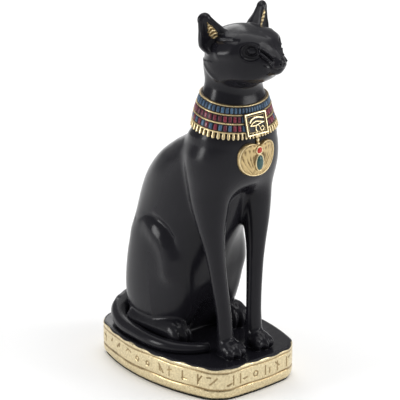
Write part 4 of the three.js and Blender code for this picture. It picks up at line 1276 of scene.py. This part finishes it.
def painted_relief_light():
    """Reads the relief on the mesh, shakes it with noise, and gives masks of hollow and ridge, for painted shade in
    the hollows and a painted highlight on the ridges.
    """
    group, source, result = new_group("Painted relief shade and highlight", [("Scale", 900.0)], ["Hollow", "Ridge"])
    nodes, links = group.nodes, group.links
    relief = nodes.new("ShaderNodeAttribute")
    relief.attribute_name = "relief"
    place = nodes.new("ShaderNodeTexCoord")
    noise = nodes.new("ShaderNodeTexNoise")
    noise.inputs["Detail"].default_value = 3.0
    links.new(place.outputs["Object"], noise.inputs["Vector"])
    links.new(source.outputs["Scale"], noise.inputs["Scale"])
    shaken = nodes.new("ShaderNodeMath")
    shaken.operation = "MULTIPLY_ADD"
    shaken.inputs[1].default_value = 0.5
    links.new(noise.outputs["Fac"], shaken.inputs[0])
    links.new(relief.outputs["Fac"], shaken.inputs[2])
    # Hollow masks the painted shade of the gold, and Ridge its painted highlight.
    for label, low, high in (("Hollow", 0.75, 0.3), ("Ridge", 0.95, 1.4)):
        ramp = nodes.new("ShaderNodeMapRange")
        ramp.inputs["From Min"].default_value = low
        ramp.inputs["From Max"].default_value = high
        links.new(shaken.outputs[0], ramp.inputs["Value"])
        links.new(ramp.outputs["Result"], result.inputs[label])
    return group


COAT = brushed_coat()
PAINTED_RELIEF_LIGHT = painted_relief_light()
print("groups:", [g.name for g in bpy.data.node_groups])

# %% [markdown]
# ## The paints
#
# Satin black is nearly neutral with a breath of violet. Its soft gloss does most of the work: the
# pale studio shows in it as grey. Gold is a metallic paint, so it is a rough metal, with painted
# shade in the hollows and a painted highlight on the ridges. The tile colours are the same paint in
# blue and red, and each tile has its own tone and painted shade towards its edges.

# %% Material helpers


def new_material(name, rough):
    """Material with a Principled shader and its nodes at hand."""
    material = bpy.data.materials.new(name)
    material.use_nodes = True
    shader = material.node_tree.nodes["Principled BSDF"]
    shader.inputs["Roughness"].default_value = rough
    return material, material.node_tree.nodes, material.node_tree.links, shader


def use_group(nodes, group, scale):
    """Node that uses a shared group at a scale."""
    node = nodes.new("ShaderNodeGroup")
    node.node_tree = group
    node.inputs["Scale"].default_value = scale
    return node


def mix(nodes, links, factor, dark, light):
    """Colour between two colours or sockets by a mask."""
    node = nodes.new("ShaderNodeMix")
    node.data_type = "RGBA"
    links.new(factor, node.inputs["Factor"])
    for socket, value in ((node.inputs["A"], dark), (node.inputs["B"], light)):
        if isinstance(value, tuple):
            socket.default_value = (*value, 1)
        else:
            links.new(value, socket)
    return node.outputs["Result"]


def spread(nodes, links, value, low, high):
    """Number between low and high by a mask."""
    node = nodes.new("ShaderNodeMapRange")
    node.inputs["From Min"].default_value = 0.3
    node.inputs["From Max"].default_value = 0.7
    node.inputs["To Min"].default_value = low
    node.inputs["To Max"].default_value = high
    links.new(value, node.inputs["Value"])
    return node.outputs["Result"]


def uneven(nodes, links, shader, height, strength, distance):
    """Bump from a height."""
    bump = nodes.new("ShaderNodeBump")
    bump.inputs["Strength"].default_value = strength
    bump.inputs["Distance"].default_value = distance
    links.new(height, bump.inputs["Height"])
    links.new(bump.outputs["Normal"], shader.inputs["Normal"])


def attribute(nodes, name):
    """Number stored on the mesh."""
    node = nodes.new("ShaderNodeAttribute")
    node.attribute_name = name
    return node.outputs["Fac"]


print("helpers ready")

# %% Paint materials
BLACK_DARK = (0.0078, 0.0075, 0.0100)
BLACK_LIGHT = (0.0125, 0.012, 0.0158)
GOLD = (0.66, 0.50, 0.25)
WORN_GOLD = (0.43, 0.32, 0.17)
# Painted shade for the gold's hollows and a painted highlight for its ridges.
GOLD_HOLLOW_SHADE = (0.15, 0.095, 0.04)
GOLD_RIDGE_HIGHLIGHT = (0.92, 0.80, 0.52)


def black_paint():
    """Satin black: two near blacks by the coat's tone, gloss by its grain."""
    material, nodes, links, shader = new_material("Satin black paint", 0.3)
    coat = use_group(nodes, COAT, 420.0)
    links.new(mix(nodes, links, coat.outputs["Tone"], BLACK_DARK, BLACK_LIGHT), shader.inputs["Base Color"])
    links.new(spread(nodes, links, coat.outputs["Grain"], 0.17, 0.26), shader.inputs["Roughness"])
    shader.inputs["Specular IOR Level"].default_value = 0.2
    uneven(nodes, links, shader, coat.outputs["Height"], 0.06, 0.0002)
    return material


def gold_colour(nodes, links, coat, painted_light, gold):
    """Gold between its tones, with painted shade in the hollows and a painted highlight on the ridges."""
    base = mix(nodes, links, coat.outputs["Tone"], tuple(0.8 * c for c in gold), gold)
    hollow = mix(nodes, links, painted_light.outputs["Hollow"], base, GOLD_HOLLOW_SHADE)
    return mix(nodes, links, painted_light.outputs["Ridge"], hollow, GOLD_RIDGE_HIGHLIGHT)


def gold_paint():
    """Metallic gold all over."""
    material, nodes, links, shader = new_material("Pale gold paint", 0.4)
    coat, painted_light = use_group(nodes, COAT, 700.0), use_group(nodes, PAINTED_RELIEF_LIGHT, 900.0)
    links.new(gold_colour(nodes, links, coat, painted_light, GOLD), shader.inputs["Base Color"])
    shader.inputs["Metallic"].default_value = 0.85
    links.new(spread(nodes, links, coat.outputs["Grain"], 0.3, 0.46), shader.inputs["Roughness"])
    uneven(nodes, links, shader, coat.outputs["Height"], 0.5, 0.0003)
    return material


def gold_on_black(name, colour):
    """Gold where the mesh says gilt, black elsewhere."""
    material, nodes, links, shader = new_material(name, 0.35)
    coat, painted_light = use_group(nodes, COAT, 600.0), use_group(nodes, PAINTED_RELIEF_LIGHT, 900.0)
    gilt = attribute(nodes, "gilt")
    gold = gold_colour(nodes, links, coat, painted_light, colour)
    links.new(mix(nodes, links, gilt, BLACK_LIGHT, gold), shader.inputs["Base Color"])
    metal = nodes.new("ShaderNodeMath")
    metal.operation = "MULTIPLY"
    metal.inputs[1].default_value = 0.85
    links.new(gilt, metal.inputs[0])
    links.new(metal.outputs[0], shader.inputs["Metallic"])
    links.new(spread(nodes, links, coat.outputs["Grain"], 0.24, 0.4), shader.inputs["Roughness"])
    shader.inputs["Specular IOR Level"].default_value = 0.2
    uneven(nodes, links, shader, coat.outputs["Height"], 0.3, 0.0002)
    return material


def tile_paint(name, dark, light):
    """Enamel-like colour with its own tone on each tile, and painted shade towards each tile's edges."""
    material, nodes, links, shader = new_material(name, 0.3)
    coat = use_group(nodes, COAT, 900.0)
    by_tile = mix(nodes, links, attribute(nodes, "tone"), dark, light)
    streak = mix(nodes, links, coat.outputs["Grain"], dark, by_tile)
    # Painted shade: each tile darkens towards its edges as its pillow falls to the channel.
    edge_shaded = mix(nodes, links, attribute(nodes, "relief"), tuple(0.12 * c for c in dark), streak)
    links.new(edge_shaded, shader.inputs["Base Color"])
    links.new(spread(nodes, links, coat.outputs["Grain"], 0.22, 0.38), shader.inputs["Roughness"])
    uneven(nodes, links, shader, coat.outputs["Height"], 0.3, 0.0002)
    return material


def stone_polish(name, dark, light):
    """Cloudy cast stone under a high polish."""
    material, nodes, links, shader = new_material(name, 0.12)
    coat = use_group(nodes, COAT, 1200.0)
    links.new(mix(nodes, links, coat.outputs["Grain"], dark, light), shader.inputs["Base Color"])
    links.new(spread(nodes, links, coat.outputs["Tone"], 0.08, 0.16), shader.inputs["Roughness"])
    return material


def felt_cloth():
    """Dull black felt with a fine pile."""
    material, nodes, links, shader = new_material("Black felt", 0.95)
    coat = use_group(nodes, COAT, 2500.0)
    links.new(mix(nodes, links, coat.outputs["Grain"], (0.004, 0.004, 0.004), (0.02, 0.02, 0.02)), shader.inputs["Base Color"])
    uneven(nodes, links, shader, coat.outputs["Height"], 0.6, 0.0003)
    return material


BLACK, GILT = black_paint(), gold_paint()
GILT_BLACK = gold_on_black("Gold picked out on black", GOLD)
WORN_GILT = gold_on_black("Worn gold with a black edge", WORN_GOLD)
BLUE = tile_paint("Blue tile paint", (0.025, 0.06, 0.12), (0.11, 0.23, 0.36))
RED = tile_paint("Dark red tile paint", (0.10, 0.014, 0.03), (0.38, 0.025, 0.055))
RED_POLISH = stone_polish("Polished red stone", (0.42, 0.018, 0.010), (0.62, 0.045, 0.02))
GREEN_POLISH = stone_polish("Polished green stone", (0.010, 0.045, 0.040), (0.04, 0.13, 0.12))
FELT = felt_cloth()
print("materials:", [m.name for m in (BLACK, GILT, GILT_BLACK, BLUE, RED)])

# %% Dress the pieces
DRESS = [
    (cat_body, BLACK, "black_paint"), (cat_head, BLACK, "black_paint"), (cat_tail, BLACK, "black_paint"),
    (collar, GILT_BLACK, "gold_paint"), (blue_tiles, BLUE, "blue_paint"), (red_tiles, RED, "red_paint"),
    (plaque, GILT_BLACK, "gold_paint"), (pendant, GILT, "gold_paint"), (pendant_link, GILT, "gold_paint"),
    (red_cup, GILT, "gold_paint"), (green_cup, GILT, "gold_paint"), (ear_tufts[0], GILT, "gold_paint"),
    (ear_tufts[1], GILT, "gold_paint"), (plinth_band, WORN_GILT, "gold_paint"),
    (red_stone, RED_POLISH, "red_stone"), (green_stone, GREEN_POLISH, "green_stone"), (felt, FELT, "felt"),
]
for piece, finish, slot in DRESS:
    piece.data.materials.append(finish)
    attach(piece, BODY)
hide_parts("cat_casting")
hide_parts("red_cabochon")
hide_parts("green_cabochon")
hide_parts("felt_pad")
print(len(DRESS), "pieces dressed")

# %% [markdown]
# ## Studio
#
# The figurine stands on a plain pale floor in soft light. Satin black shows only what it mirrors,
# so the world is pale all round, and large soft lights give the long highlights.

# %% Floor, world and lights


def pale_floor():
    """Large sheet with a pale plain finish."""
    size = 3000.0
    points = [(-size, -size, 0), (size, -size, 0), (size, size, 0), (-size, size, 0)]
    sheet = mesh_object("floor", points, [(0, 1, 2, 3)])
    material, nodes, links, shader = new_material("Pale floor", 0.9)
    shader.inputs["Base Color"].default_value = (0.97, 0.97, 0.97, 1)
    shader.inputs["Specular IOR Level"].default_value = 0.1
    sheet.data.materials.append(material)


def soft_light(name, place, size, power, target=(0, -10, 90)):
    """Soft light of a width and a height that faces a target, in millimetres."""
    light = bpy.data.lights.new(name, "AREA")
    light.shape = "RECTANGLE"
    light.size, light.size_y = size[0] * MM, size[1] * MM
    light.energy = power
    made = bpy.data.objects.new(name, light)
    here = np.array(place, float)
    way = np.array(target) - here
    made.location = here * MM
    flat = math.hypot(way[0], way[1])
    made.rotation_euler = (math.atan2(flat, -way[2]), 0, math.atan2(way[1], way[0]) - math.pi / 2)
    bpy.context.scene.collection.objects.link(made)


pale_floor()
world = bpy.data.worlds.new("Pale studio")
world.use_nodes = True
world.node_tree.nodes["Background"].inputs["Color"].default_value = (1, 1, 1, 1)
world.node_tree.nodes["Background"].inputs["Strength"].default_value = 0.33
bpy.context.scene.world = world
soft_light("overhead", (200, 150, 1500), (1800, 1800), 16)
soft_light("key", (1000, -1300, 500), (700, 700), 8)
soft_light("side", (-1339, 614, 410), (420, 700), 8.5)
soft_light("front", (316, -868, 1360), (600, 600), 4)
soft_light("back", (600, 1200, 700), (700, 700), 3.5)
print("studio ready")

# %% [markdown]
# ## Camera
#
# The camera stands at the picture's viewing angle: to the cat's right and in front, and above.
# A long lens at over a metre gives the same mild perspective.

# %% Camera
CAMERA_AZIMUTH = -41.0
CAMERA_ELEVATION = 19.2
CAMERA_DISTANCE = 1128.0
CAMERA_TARGET = np.array([-6.47, -10.0, 94.9])
LENS = 198.0
a, e = math.radians(CAMERA_AZIMUTH), math.radians(CAMERA_ELEVATION)
away = np.array([math.sin(a) * math.cos(e), -math.cos(a) * math.cos(e), math.sin(e)])
camera = bpy.data.objects.new("camera", bpy.data.cameras.new("camera"))
camera.data.lens = LENS
camera.data.sensor_width = 36.0
camera.location = (CAMERA_TARGET + away * CAMERA_DISTANCE) * MM
camera.rotation_euler = (math.pi / 2 - e, 0, a)
bpy.context.scene.collection.objects.link(camera)
bpy.context.scene.camera = camera
bpy.context.scene.view_settings.view_transform = "Standard"
print("camera at", [round(v, 3) for v in camera.location])
